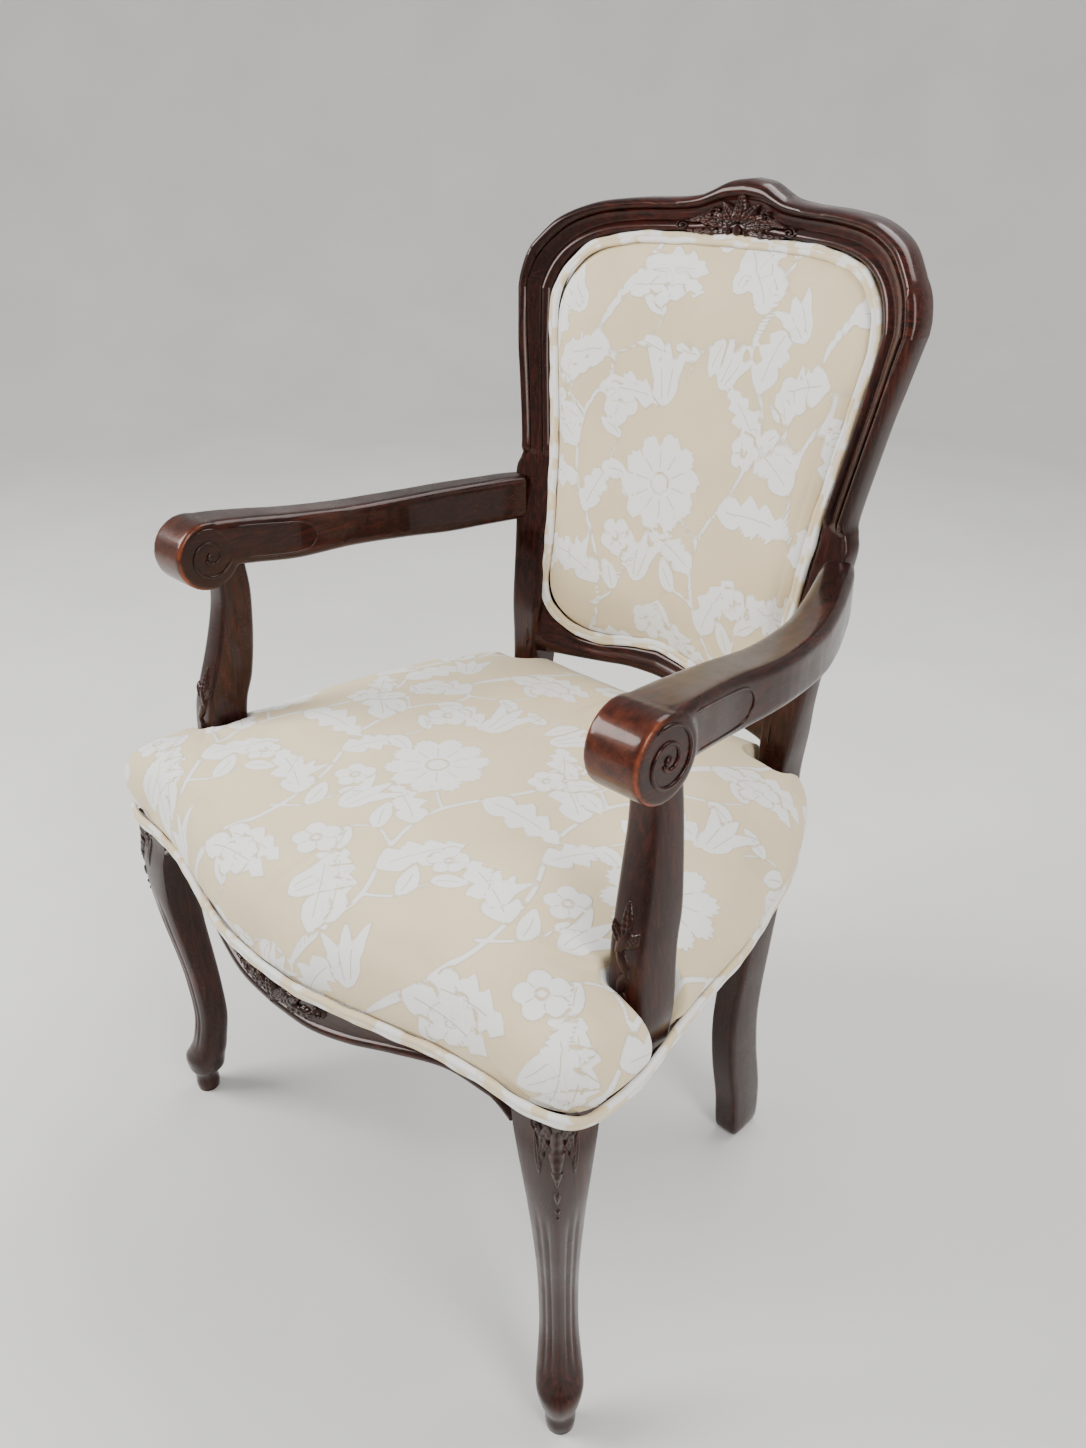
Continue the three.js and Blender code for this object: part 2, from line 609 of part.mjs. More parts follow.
const BLOCK_SCREW_NAMES = {
  frontToFrontRail: 'front_block_to_front_rail_screw',
  frontToSideRail: 'front_block_to_side_rail_screw',
  rearToRearRail: 'rear_block_to_rear_rail_screw',
  rearToSideRail: 'rear_block_to_side_rail_screw',
};

function addScrews() {
  Object.entries(BLOCK_SCREW_NAMES).forEach(([key, name]) => {
    placePair(name, screwAt(...blockScrewPlace(key)), steel);
  });
  placePair('arm_to_post_screw', screwAt(ARM_SCREW.from, ARM_SCREW.toward, ...LONG_SCREW), steel);
  placePair('arm_support_screw',
    screwAt(SUPPORT_SCREW.from, SUPPORT_SCREW.toward, ...LONG_SCREW), steel);
}

function addDeck() {
  LONG_STRAPS.forEach((x, i) => {
    const strap = strapGeometry(-278, 190, CROSS_STRAPS, i % 2 ? -1 : 1);
    strap.rotateX(Math.PI / 2).rotateZ(Math.PI / 2).translate(x, 0, 0);
    place(`seat_webbing_long_${i + 1}`, strap, webbing);
  });
  CROSS_STRAPS.forEach((y, i) => {
    const reach = 262 - Math.max(0, y + 20) * 0.45;
    const strap = strapGeometry(-reach, reach, LONG_STRAPS, i % 2 ? 1 : -1);
    strap.rotateX(Math.PI / 2).translate(0, y, 0);
    place(`seat_webbing_cross_${i + 1}`, strap, webbing);
  });
  const cloth = loft([seatRing([0.93, 430.6]), seatRing([0.93, 431.4])]);
  place('seat_hessian', cutAroundPosts(cloth, GAP), hessian);
  const { low, high, scale } = DUST_COVER;
  const pieces = cutAll(solid(loft([seatRing([scale, low]), seatRing([scale, high])])), [
    ...bothSidesOf(railSolid(SIDE_RAIL_ROWS, GAP)), railSolid(frontRailRows(), GAP),
    ...bothSidesOf(postSolid(GAP)), ...bothSidesOf(frontLegSolid()),
    boxSolid(...REAR_RAIL_BOX, GAP), ...['sideRailFront', 'sideRailRear', 'frontRail', 'rearRail']
      .map((name) => bothTenons(name, GAP)),
  ]).decompose();
  const dust = pieces.reduce((a, b) => (b.volume() > a.volume() ? b : a));
  place('dust_cover', geometryOf(dust), cambric);
}

// Cuts room for the rear posts and the arm supports out of a piece of the seat's padding.
function cutAroundPosts(geometry, room) {
  const support = supportBody(room);
  return geometryOf(cutAll(solid(geometry), [...bothSidesOf(postSolid(room)),
    ...bothSidesOf(support)]));
}

function addSeatPadding() {
  place('seat_foam', cutAroundPosts(loft(SEAT_FOAM.map(seatRing)), 5), foam);
  const cover = coverLoft(SEAT_COVER_OUTER, SEAT_COVER_INNER, seatRing);
  place('seat_cover', cutAroundPosts(cover, 1.5), jacquard);
  place('seat_welt', cutAroundPosts(seatWeltGeometry(), GAP), jacquard);
}

function addBackPadding() {
  const row = ([scale, depth]) => backRing(scale, depth);
  place('back_hessian', backSheet(11.4, 12.4), hessian);
  place('back_foam', loft(BACK_FOAM.map(row)), foam);
  place('back_cover', coverLoft(BACK_COVER_OUTER, BACK_COVER_INNER, row), jacquard);
  place('back_welt', backWeltGeometry(), jacquard);
  place('outside_back_cover', backSheet(19, 22), jacquard);
}

addFrame();
addCornerBlocks();
addScrews();
addDeck();
addSeatPadding();
addBackPadding();

// The origin is under the middle of the chair's box, on the floor.
const bounds = new THREE.Box3().setFromObject(chair);
chair.position.y = -(bounds.min.y + bounds.max.y) / 2;

export default chair;
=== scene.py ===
import math

import bmesh
import bpy
import numpy as np
from mathutils import Matrix, Vector


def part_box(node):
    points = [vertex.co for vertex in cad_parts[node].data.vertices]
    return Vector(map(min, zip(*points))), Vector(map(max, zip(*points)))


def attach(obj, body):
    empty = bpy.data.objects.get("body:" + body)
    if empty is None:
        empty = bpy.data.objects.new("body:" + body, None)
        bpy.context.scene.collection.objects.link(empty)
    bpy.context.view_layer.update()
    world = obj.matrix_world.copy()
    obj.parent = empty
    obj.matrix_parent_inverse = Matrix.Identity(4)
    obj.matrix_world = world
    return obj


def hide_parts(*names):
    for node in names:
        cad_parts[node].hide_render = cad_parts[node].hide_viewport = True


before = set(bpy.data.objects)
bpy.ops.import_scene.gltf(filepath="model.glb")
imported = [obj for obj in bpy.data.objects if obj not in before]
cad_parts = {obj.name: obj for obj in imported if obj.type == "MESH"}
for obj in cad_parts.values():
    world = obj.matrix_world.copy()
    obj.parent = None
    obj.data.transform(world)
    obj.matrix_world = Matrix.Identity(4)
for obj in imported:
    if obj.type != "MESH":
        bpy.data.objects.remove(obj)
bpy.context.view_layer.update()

SIDES = {"left": 1.0, "right": -1.0}

# ------------------------------------------------------------------ drawing frame
# Outlines are drawn in millimetres. The part is centred on its own box, so the drawing is
# moved along y by what the left rear post's box says.
BACK_RAKE = 0.217
BACK_LINE = (209.0, 680.0)
BOW_LOW, BOW_HIGH = (520.0, 42.0), (1000.0, 58.0)
BOW_HALF_WIDTH = 232.0
FRAME_THICKNESS = 26.0


def back_y(x, z):
    """The face of the back: it leans, and bows backwards between the posts."""
    span = (z - BOW_LOW[0]) / (BOW_HIGH[0] - BOW_LOW[0])
    bow = BOW_LOW[1] + span * (BOW_HIGH[1] - BOW_LOW[1])
    across = np.minimum(1.0, (np.asarray(x) / BOW_HALF_WIDTH) ** 2)
    return BACK_LINE[0] + BACK_RAKE * (z - BACK_LINE[1]) + bow * (1 - across)


REAR_POST_FRONT = 99.0
SHIFT_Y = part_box("rear_post_left")[0][1] * 1000 - REAR_POST_FRONT


def to_world(points):
    out = np.array(points, float)
    out[..., 1] += SHIFT_Y
    return out / 1000.0


# ------------------------------------------------------------------ numbers and curves
def spans(rows, steps):
    """Smooth steps along each stretch of rows that has a neighbour on both sides."""
    t = (np.arange(steps) / steps)[:, None]
    out = []
    for a, b, c, d in zip(rows, rows[1:], rows[2:], rows[3:]):
        cubic = (3 * b - a - 3 * c + d) * t ** 3
        out.append(0.5 * (2 * b + (c - a) * t + (2 * a - 5 * b + 4 * c - d) * t * t + cubic))
    return np.vstack(out)


def catmull(rows, steps):
    """Rows of numbers filled in smoothly, with `steps` rows for each one given."""
    rows = np.array(rows, float)
    return np.vstack([spans(np.vstack([rows[:1], rows, rows[-1:]]), steps), rows[-1:]])


def closed_catmull(points, count):
    """A closed smooth outline through the points, evenly spaced."""
    points = np.array(points, float)
    dense = spans(np.vstack([points[-1:], points, points[:2]]), 40)
    dense = np.vstack([dense, dense[:1]])
    along = np.concatenate([[0], np.cumsum(np.linalg.norm(np.diff(dense, axis=0), axis=1))])
    at = np.arange(count) / count * along[-1]
    return np.stack([np.interp(at, along, dense[:, k]) for k in range(dense.shape[1])], 1)


def mirrored_outline(half, count):
    return closed_catmull(half + [(-x, v) for x, v in half[1:-1][::-1]], count)


def smoothstep(low, high, value):
    t = np.clip((value - low) / (high - low), 0, 1)
    return t * t * (3 - 2 * t)


def plan_normals(path, joined=False):
    """Unit vectors across a plan path, to its right-hand side."""
    if joined:
        ahead, behind = np.roll(path, -1, axis=0), np.roll(path, 1, axis=0)
    else:
        ahead = np.vstack([path[1:], path[-1:]])
        behind = np.vstack([path[:1], path[:-1]])
    step = ahead - behind
    normal = np.stack([step[:, 1], -step[:, 0]], 1)
    return normal / np.linalg.norm(normal, axis=1, keepdims=True)


# ------------------------------------------------------------------ meshes
def placed(name, data):
    thing = bpy.data.objects.new(name, data)
    bpy.context.scene.collection.objects.link(thing)
    return thing


def smooth_all(mesh):
    mesh.polygons.foreach_set("use_smooth", [True] * len(mesh.polygons))


def new_object(name, points, faces, material, sharp=40):
    """A mesh object from points in the drawing frame, with its faces turned outwards."""
    mesh = bpy.data.meshes.new(name)
    mesh.from_pydata(to_world(points).tolist(), [], [list(map(int, f)) for f in faces])
    build = bmesh.new()
    build.from_mesh(mesh)
    bmesh.ops.recalc_face_normals(build, faces=build.faces)
    build.to_mesh(mesh)
    build.free()
    smooth_all(mesh)
    if sharp:
        mesh.set_sharp_from_angle(angle=math.radians(sharp))
    mesh.materials.append(material)
    return placed(name, mesh)


def grid_faces(rows, columns, start=0):
    k = start + (np.arange(rows - 1)[:, None] * columns + np.arange(columns - 1)).ravel()
    return np.stack([k, k + 1, k + columns + 1, k + columns], 1).tolist()


def band_faces(first, second):
    """Faces between two closed rings of point indices."""
    return np.stack([first, second, np.roll(second, -1), np.roll(first, -1)], 1).tolist()


def loft_faces(rows, count, joined):
    j = np.arange(count)
    k = (j + 1) % count
    faces = []
    for i in range(rows if joined else rows - 1):
        n = (i + 1) % rows
        faces += np.stack([i * count + j, i * count + k, n * count + k, n * count + j], 1).tolist()
    if not joined:
        faces.append(list(range(count))[::-1])
        faces.append(list(range((rows - 1) * count, rows * count)))
    return faces


def loft(name, rings, material, joined=False, sharp=40):
    rings = np.asarray(rings, float)
    faces = loft_faces(rings.shape[0], rings.shape[1], joined)
    return new_object(name, rings.reshape(-1, 3), faces, material, sharp)


def mirror_points(points, side):
    out = np.array(points, float)
    out[..., 0] *= side
    return out


def own(piece, slot, *nodes):
    """Every piece rides on the chair's one body; the slot argument is not used. Some stand for CAD nodes."""
    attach(piece, "root")
    if nodes:
        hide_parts(*nodes)


def turn_angles(count):
    return np.arange(count) / count * 2 * math.pi


def float_attribute(thing, name, values):
    layer = thing.data.attributes.new(name, "FLOAT", "POINT")
    layer.data.foreach_set("value", np.asarray(values, np.float32).ravel())


def attribute(thing, name):
    values = np.empty(len(thing.data.vertices), np.float32)
    thing.data.attributes[name].data.foreach_get("value", values)
    return values.astype(float)


def drawing_points(thing):
    """An object's points back in the drawing frame, in millimetres."""
    flat = np.empty(len(thing.data.vertices) * 3)
    thing.data.vertices.foreach_get("co", flat)
    points = flat.reshape(-1, 3) * 1000
    points[:, 1] -= SHIFT_Y
    return points


def apply_modifiers(thing):
    graph = bpy.context.evaluated_depsgraph_get()
    mesh = bpy.data.meshes.new_from_object(thing.evaluated_get(graph))
    thing.modifiers.clear()
    old = thing.data
    thing.data = mesh
    bpy.data.meshes.remove(old)


# ------------------------------------------------------------------ materials
class Look:
    """A material under way, with short ways to add nodes to it."""

    def __init__(self, name):
        self.material = bpy.data.materials.new(name)
        self.material.use_nodes = True
        self.tree = self.material.node_tree
        self.shader = self.tree.nodes["Principled BSDF"]
        self.where = self.add("TexCoord", {}).outputs["Object"]
        self.normal = None

    def give(self, node, inputs):
        """Set a node's inputs to numbers and colours, or link other nodes' outputs to them."""
        for key, value in inputs.items():
            socket = node.inputs[key]
            if isinstance(value, bpy.types.NodeSocket):
                self.tree.links.new(value, socket)
            elif socket.type == "RGBA":
                socket.default_value = (*value, 1)
            else:
                socket.default_value = value

    def add(self, kind, inputs, **settings):
        node = self.tree.nodes.new("ShaderNode" + kind)
        for key, value in settings.items():
            setattr(node, key, value)
        self.give(node, inputs)
        return node

    def ramp(self, value, stops):
        node = self.add("ValToRGB", {"Fac": value})
        elements = node.color_ramp.elements
        while len(elements) < len(stops):
            elements.new(0.5)
        for element, (place, colour) in zip(elements, stops):
            element.position = place
            element.color = (*colour, 1)
        return node.outputs["Color"]

    def noise(self, coords, scale, detail=4.0, distortion=0.0):
        inputs = {"Vector": coords, "Scale": scale, "Detail": detail, "Distortion": distortion}
        return self.add("TexNoise", inputs).outputs["Fac"]

    def math(self, operation, *values):
        return self.add("Math", dict(enumerate(values)), operation=operation).outputs[0]

    def spread(self, value, low, high, to_low=0.0, to_high=1.0, kind="LINEAR"):
        """The value mapped from one range to another; a SMOOTHSTEP kind eases both ends."""
        inputs = {"Value": value, "From Min": low, "From Max": high, "To Min": to_low, "To Max": to_high}
        return self.add("MapRange", inputs, interpolation_type=kind).outputs["Result"]

    def mix(self, share, first, second):
        """Two colours mixed; 0, 6 and 7 are the mix node's factor and its two colour inputs."""
        return self.add("Mix", {0: share, 6: first, 7: second}, data_type="RGBA").outputs[2]

    def field(self, name):
        """A number that the mesh carries at its points."""
        return self.add("Attribute", {}, attribute_name=name).outputs["Fac"]

    def cloth_coords(self):
        return self.add("UVMap", {}, uv_map="cloth").outputs["UV"]

    def scaled(self, coords, scale):
        return self.add("Mapping", {"Vector": coords, "Scale": scale}).outputs["Vector"]

    def weave(self, coords, pitch):
        """Threads both ways, as the sum of two fine waves."""
        waves = [self.add("TexWave", {"Vector": coords, "Scale": 0.31 / pitch, "Distortion": 0.6,
                                      "Detail Scale": 2.0}, bands_direction=axis).outputs["Fac"]
                 for axis in ("X", "Y")]
        return self.math("ADD", *waves)

    def bump(self, height, distance, strength):
        """Relief on top of the relief there already is."""
        inputs = {"Height": height, "Distance": distance, "Strength": strength}
        if self.normal is not None:
            inputs["Normal"] = self.normal
        self.normal = self.add("Bump", inputs).outputs["Normal"]

    def finish(self, inputs):
        if self.normal is not None:
            inputs = {**inputs, "Normal": self.normal}
        self.give(self.shader, inputs)
        return self.material


def mahogany(name, grain):
    """Dark glossy mahogany: stretched grain, pores, uneven lacquer and wear on proud edges."""
    look = Look(name)
    along = look.scaled(look.where, grain)
    clouds = look.math("ADD", look.noise(look.where, 7.0, 3.0), 0.5)
    figure = look.math("MULTIPLY", look.noise(along, 9.0, 6.0, 0.8), clouds)
    colours = look.ramp(figure, [(0.28, (0.004, 0.0012, 0.0010)), (0.48, (0.013, 0.0026, 0.0018)),
                                 (0.66, (0.034, 0.0056, 0.0034)), (0.85, (0.064, 0.0120, 0.0060))])
    scuffs = look.spread(look.noise(look.where, 90.0, 5.0), 0.35, 0.62, 0.25, 1.0)
    wear = look.math("MULTIPLY", look.field("wear"), scuffs)
    smear = look.noise(look.where, 28.0, 4.0)
    look.bump(look.noise(along, 60.0, 3.0), 0.0002, 0.12)
    return look.finish({
        "Base Color": look.mix(wear, colours, (0.26, 0.060, 0.022)),
        "Roughness": look.spread(smear, 0.3, 0.75, 0.22, 0.42),
        "Specular IOR Level": 0.22, "Specular Tint": (1.0, 0.62, 0.50),
        "Coat Weight": 0.34, "Coat Roughness": 0.09,
    })


CREAM = (0.720, 0.590, 0.375)
IVORY = (0.870, 0.858, 0.820)
VEIN = (0.560, 0.450, 0.285)
FLECK = (0.58, 0.49, 0.33)


def shaded(colour, share):
    return tuple(min(1, c * share) for c in colour)


def jacquard(name):
    """Cream cloth with a raised ivory pattern; the mesh carries the pattern's distance field."""
    look = Look(name)
    fray = look.spread(look.noise(look.where, 900.0, 2.0), 0.3, 0.7, -0.35, 0.35)
    edge = look.math("ADD", look.field("motif"), fray)
    motif = look.spread(edge, -0.7, 0.5, 1.0, 0.0, "SMOOTHSTEP")
    line = look.spread(look.math("ABSOLUTE", look.field("vein")), 0.25, 0.85, 1.0, 0.0, "SMOOTHSTEP")
    reach = look.spread(look.field("vein_reach"), 0.0, 2.0, 0.0, 1.0, "SMOOTHSTEP")
    vein = look.math("MULTIPLY", line, reach)
    rim = look.spread(look.math("ABSOLUTE", edge), 0.3, 1.6, 1.0, 0.0, "SMOOTHSTEP")
    ground = look.mix(look.spread(look.noise(look.where, 14.0), 0.3, 0.7), CREAM, shaded(CREAM, 1.09))
    flecks = look.spread(look.noise(look.where, 420.0, 2.0), 0.62, 0.8, 0.0, 0.45)
    ground = look.mix(flecks, ground, FLECK)
    ivory = look.mix(look.math("MULTIPLY", vein, 0.8), IVORY, VEIN)
    colour = look.mix(motif, ground, ivory)
    look.bump(motif, 0.0009, 0.55)
    look.bump(vein, 0.0005, 0.35)
    look.bump(look.weave(look.cloth_coords(), 0.0009), 0.0003, 0.35)
    return look.finish({
        "Base Color": look.mix(look.math("MULTIPLY", rim, 0.42), colour, VEIN),
        "Roughness": look.spread(motif, 0.0, 1.0, 0.86, 0.60),
        "Sheen Weight": 0.18, "Sheen Roughness": 0.45,
    })


def welt_cloth(name):
    """The same cloth round a cord: patches of ground and pattern go by along its length."""
    look = Look(name)
    run = look.cloth_coords()
    patches = look.noise(look.scaled(run, (38.0, 30.0, 1.0)), 1.0, 1.5)
    patches = look.spread(patches, 0.47, 0.53, 0.0, 1.0, "SMOOTHSTEP")
    look.bump(look.noise(look.where, 260.0), 0.0008, 0.5)
    look.bump(look.weave(run, 0.0011), 0.0003, 0.4)
    return look.finish({"Base Color": look.mix(patches, shaded(CREAM, 1.06), IVORY),
                        "Roughness": 0.82, "Sheen Weight": 0.25, "Sheen Roughness": 0.5})


def plain_cloth(name, colour, pitch):
    look = Look(name)
    shade = look.spread(look.noise(look.where, 60.0, 5.0), 0.3, 0.7)
    look.bump(look.weave(look.where, pitch), 0.0006, 0.6)
    return look.finish({"Base Color": look.mix(shade, shaded(colour, 0.82), shaded(colour, 1.12)),
                        "Roughness": 0.9})


def raw_wood(name):
    look = Look(name)
    figure = look.noise(look.scaled(look.where, (6.0, 40.0, 40.0)), 6.0, 6.0, 0.6)
    look.bump(figure, 0.0004, 0.4)
    colours = [(0.3, (0.30, 0.17, 0.085)), (0.55, (0.42, 0.26, 0.14)), (0.75, (0.52, 0.34, 0.19))]
    return look.finish({"Base Color": look.ramp(figure, colours), "Roughness": 0.72})


def zinc_steel(name):
    look = Look(name)
    spangle = look.noise(look.where, 300.0)
    return look.finish({"Base Color": look.mix(spangle, (0.48, 0.47, 0.44), (0.66, 0.66, 0.63)),
                        "Roughness": look.spread(spangle, 0.3, 0.7, 0.28, 0.5), "Metallic": 1.0})


WOOD_UPRIGHT = mahogany("mahogany_upright", (30.0, 30.0, 3.0))
WOOD_ALONG_X = mahogany("mahogany_along_x", (3.0, 30.0, 30.0))
WOOD_ALONG_Y = mahogany("mahogany_along_y", (30.0, 3.0, 30.0))
SEAT_CLOTH = jacquard("seat_jacquard")
WELT_CLOTH = welt_cloth("welt_jacquard")
BACK_CLOTH = jacquard("back_jacquard")
OUTSIDE_CLOTH = jacquard("outside_back_jacquard")

# ------------------------------------------------------------------ motifs, shared by cloth and carving
# Each motif gives a signed distance in millimetres: below nought inside it.


def own_axes(u, v, x, y, angle):
    du, dv = u - x, v - y
    c, s = math.cos(angle), math.sin(angle)
    return du * c + dv * s, dv * c - du * s


def leaf(u, v, x, y, angle, length, width, bend=0.0, lobes=0, depth=0.55):
    """A leaf with a curved midrib; lobes give it points that sweep towards its tip."""
    a, b = own_axes(u, v, x, y, angle)
    b = b - bend * length * np.clip(a / length, 0, 1.2) ** 2
    t = np.clip(a / length, 0, 1)
    half = width * np.sin(math.pi * t ** 0.85) ** 0.75
    if lobes:
        sweep = np.clip((a - 0.8 * np.abs(b)) / length, 0, 1) * lobes
        saw = sweep - np.floor(sweep)
        half = half * (1 - depth * saw ** 1.4)
    return np.maximum(np.abs(b) - half, np.maximum(-a, a - length))


def leaf_rib(u, v, x, y, angle, length, bend=0.0):
    """Signed distance to a leaf's midrib, and how far inside the rib's two ends a point is."""
    a, b = own_axes(u, v, x, y, angle)
    b = b - bend * length * np.clip(a / length, 0, 1.2) ** 2
    return b, np.minimum(a - 0.12 * length, 0.74 * length - a)


def turned_polar(u, v, x, y, turn):
    a, b = own_axes(u, v, x, y, turn)
    return np.hypot(a, b), np.arctan2(b, a)


def petals(u, v, x, y, radius, count, turn=0.0, notch=0.42, fringe=0.0):
    """A flower seen from the front; a fringe gives its petals toothed ends."""
    r, theta = turned_polar(u, v, x, y, turn)
    lobe = np.abs(np.cos(count * theta / 2)) ** 0.5
    reach = radius * (1 - notch + notch * lobe + fringe * np.cos(count * 5.0 * theta))
    eye = 1.1 - np.abs(r - 0.21 * radius)
    return np.maximum((r - reach) * 0.9, eye)


def petal_lines(u, v, x, y, radius, count, turn=0.0):
    """Signed distance to the lines between petals, and how far inside their ends a point is."""
    r, theta = turned_polar(u, v, x, y, turn)
    return r * np.cos(count * theta / 2) * 2 / count, np.minimum(r - 0.3 * radius, 0.66 * radius - r)


def tulip(u, v, x, y, angle, size):
    """A cup of three petals whose side ones curl out."""
    middle = leaf(u, v, x, y, angle, size, size * 0.13)
    left = leaf(u, v, x, y, angle + 0.16, size, size * 0.13, 0.26)
    right = leaf(u, v, x, y, angle - 0.16, size, size * 0.13, -0.26)
    cup = leaf(u, v, x, y, angle, size * 0.72, size * 0.25)
    return np.minimum(np.minimum(middle, cup), np.minimum(left, right))


def tulip_lines(u, v, x, y, angle, size):
    a, b = own_axes(u, v, x, y, angle)
    return np.abs(b) - 0.11 * size * (a / size + 0.4), np.minimum(a - 0.12 * size, 0.6 * size - a)


def path_point(path, share):
    """A point on a smooth path and the direction it runs in."""
    dense = catmull(path, 12)
    i = min(int(share * (len(dense) - 1)), len(dense) - 2)
    step = dense[i + 1] - dense[i]
    return dense[i], math.atan2(step[1], step[0])


# ------------------------------------------------------------------ the cloth's pattern
REPEAT = (330.0, 470.0)
PATTERN_SCALE = 0.86
LEAF_GROWTH = 1.28
VINES = [
    [(40, -60), (92, 40), (84, 130), (38, 215), (34, 300), (66, 362), (40, 410), (92, 510)],
    [(262, -70), (286, 20), (248, 96), (236, 170), (284, 262), (300, 330), (262, 400), (286, 490)],
]
BRANCHES = [
    [(86, 60), (118, 84), (128, 118), (112, 150)], [(40, 212), (72, 238), (92, 276), (88, 310)],
    [(34, 300), (0, 322), (-26, 318), (-46, 296)], [(250, 96), (214, 108), (190, 92), (178, 62)],
    [(238, 176), (206, 196), (196, 222), (180, 240)], [(290, 285), (322, 300), (340, 330), (336, 356)],
    [(262, 400), (222, 406), (190, 388), (176, 356)], [(60, 372), (100, 392), (124, 424), (120, 456)],
    [(282, 30), (312, 52), (322, 84), (312, 116)],
]
BIG_FLOWER = (165, 232, 60)
SMALL_FLOWERS = [(112, 156, 25), (86, 318, 27), (-48, 290, 22), (176, 56, 27), (336, 360, 25),
                 (312, 120, 21), (120, 460, 24)]
TULIPS = [(150, 104, 1.45, 70), (150, 322, 1.7, 74), (216, -14, 1.2, 72), (10, 420, 2.3, 66),
          (226, 352, 1.1, 60), (66, 100, 1.9, 52)]
LEAF_SPOTS = 7
STEM_REACH = 30.0
MOTIF_GAP = 2.2
MOTIF_MARGIN = 14.0
CLOTH_PLACE = ("cloth_u", "cloth_v")


def each_leaf():
    """Leaves along the vines, on alternate sides, larger and smaller by turns."""
    for vine, path in enumerate(VINES):
        for i in range(LEAF_SPOTS):
            point, heading = path_point(path, 0.10 + 0.82 * i / (LEAF_SPOTS - 1))
            side = 1 if (i + vine) % 2 else -1
            length = LEAF_GROWTH * (74 + 16 * math.sin(2.3 * i + vine))
            yield point[0], point[1], heading + side * 0.8, length, 23 + 4 * (i % 2), side * 0.24, 4
    for i, path in enumerate(BRANCHES):
        point, heading = path_point(path, 0.35)
        side = 1 if i % 2 else -1
        yield point[0], point[1], heading - side * 0.8, 46, 12, -side * 0.25, 0
        point, heading = path_point(path, 0.72)
        yield point[0], point[1], heading + side * 0.9, 38, 10.5, side * 0.25, 0


class Tile:
    """The repeating pattern, drawn motif by motif on the points that each one can reach."""

    def __init__(self, u, v):
        self.u, self.v = u, v
        self.edge = np.full(u.shape, 1e3)
        self.line = np.full(u.shape, 9.0)
        self.reach = np.full(u.shape, -9.0)

    def near(self, x, y, size):
        """The points near a spot in any repeat, and their places from that spot."""
        du = (self.u - x + REPEAT[0] / 2) % REPEAT[0] - REPEAT[0] / 2
        dv = (self.v - y + REPEAT[1] / 2) % REPEAT[1] - REPEAT[1] / 2
        index = np.nonzero((np.abs(du) < size) & (np.abs(dv) < size))[0]
        return index, du[index], dv[index]

    def add(self, index, shape, ribs=None):
        if ribs is not None:
            self.edge[index] = np.maximum(self.edge[index], np.where(shape > 0, MOTIF_GAP - shape, -1e3))
        nearer = shape < self.edge[index]
        index = index[nearer]
        self.edge[index] = shape[nearer]
        self.reach[index] = -9.0 if ribs is None else ribs[1][nearer]
        if ribs is not None:
            self.line[index] = ribs[0][nearer]

    def stem(self, path, start, end):
        """A tapering line along a smooth path."""
        path = catmull(path, 8)
        last = len(path) - 1
        for i, (p, q) in enumerate(zip(path, path[1:])):
            index, du, dv = self.near(p[0], p[1], STEM_REACH)
            d = q - p
            t = np.clip((du * d[0] + dv * d[1]) / (d @ d), 0, 1)
            half = start + (end - start) * (i + t) / last
            self.add(index, np.hypot(du - t * d[0], dv - t * d[1]) - half)


def pattern(u, v):
    """The pattern's edge distance, its inner lines' signed distance and those lines' reach."""
    tile = Tile(u / PATTERN_SCALE, v / PATTERN_SCALE)
    for path in VINES:
        tile.stem(path, 3.3, 2.9)
    for path in BRANCHES:
        tile.stem(path, 2.6, 1.5)
    for x, y, angle, length, width, bend, lobes in each_leaf():
        index, du, dv = tile.near(x, y, length + MOTIF_MARGIN)
        tile.add(index, leaf(du, dv, 0, 0, angle, length, width, bend, lobes),
                 leaf_rib(du, dv, 0, 0, angle, length, bend))
    flowers = [(*BIG_FLOWER, 10, 0.2, 0.30, 0.045)]
    flowers += [(x, y, radius, 5, 0.1 * x, 0.42, 0.0) for x, y, radius in SMALL_FLOWERS]
    for x, y, radius, count, turn, notch, fringe in flowers:
        index, du, dv = tile.near(x, y, radius + MOTIF_MARGIN)
        tile.add(index, petals(du, dv, 0, 0, radius, count, turn, notch, fringe),
                 petal_lines(du, dv, 0, 0, radius, count, turn))
    for x, y, angle, size in TULIPS:
        index, du, dv = tile.near(x, y, size + MOTIF_MARGIN)
        tile.add(index, tulip(du, dv, 0, 0, angle, size), tulip_lines(du, dv, 0, 0, angle, size))
    return tile.edge, tile.line, tile.reach


def lay_cloth(thing, offset):
    """Store the pattern's fields and the cloth's own coordinates on a pad's mesh."""
    u, v = (attribute(thing, name) + move for name, move in zip(CLOTH_PLACE, offset))
    for name, values in zip(("motif", "vein", "vein_reach"), pattern(u, v)):
        float_attribute(thing, name, np.clip(values, -20, 20))
    cloth_map(thing, u, v)


def cloth_map(thing, u, v):
    layer = thing.data.uv_layers.new(name="cloth")
    corner = np.empty(len(thing.data.loops), np.int32)
    thing.data.loops.foreach_get("vertex_index", corner)
    uv = np.stack([u, v], 1)[corner] / 1000.0
    layer.data.foreach_set("uv", uv.astype(np.float32).ravel())


# ------------------------------------------------------------------ camera, light and floor
EYE = Vector((0.7440, -0.7255, 1.0742))
AIM = Vector((0.0214, 0.0287, 0.5180))
ROLL = math.radians(-0.4)


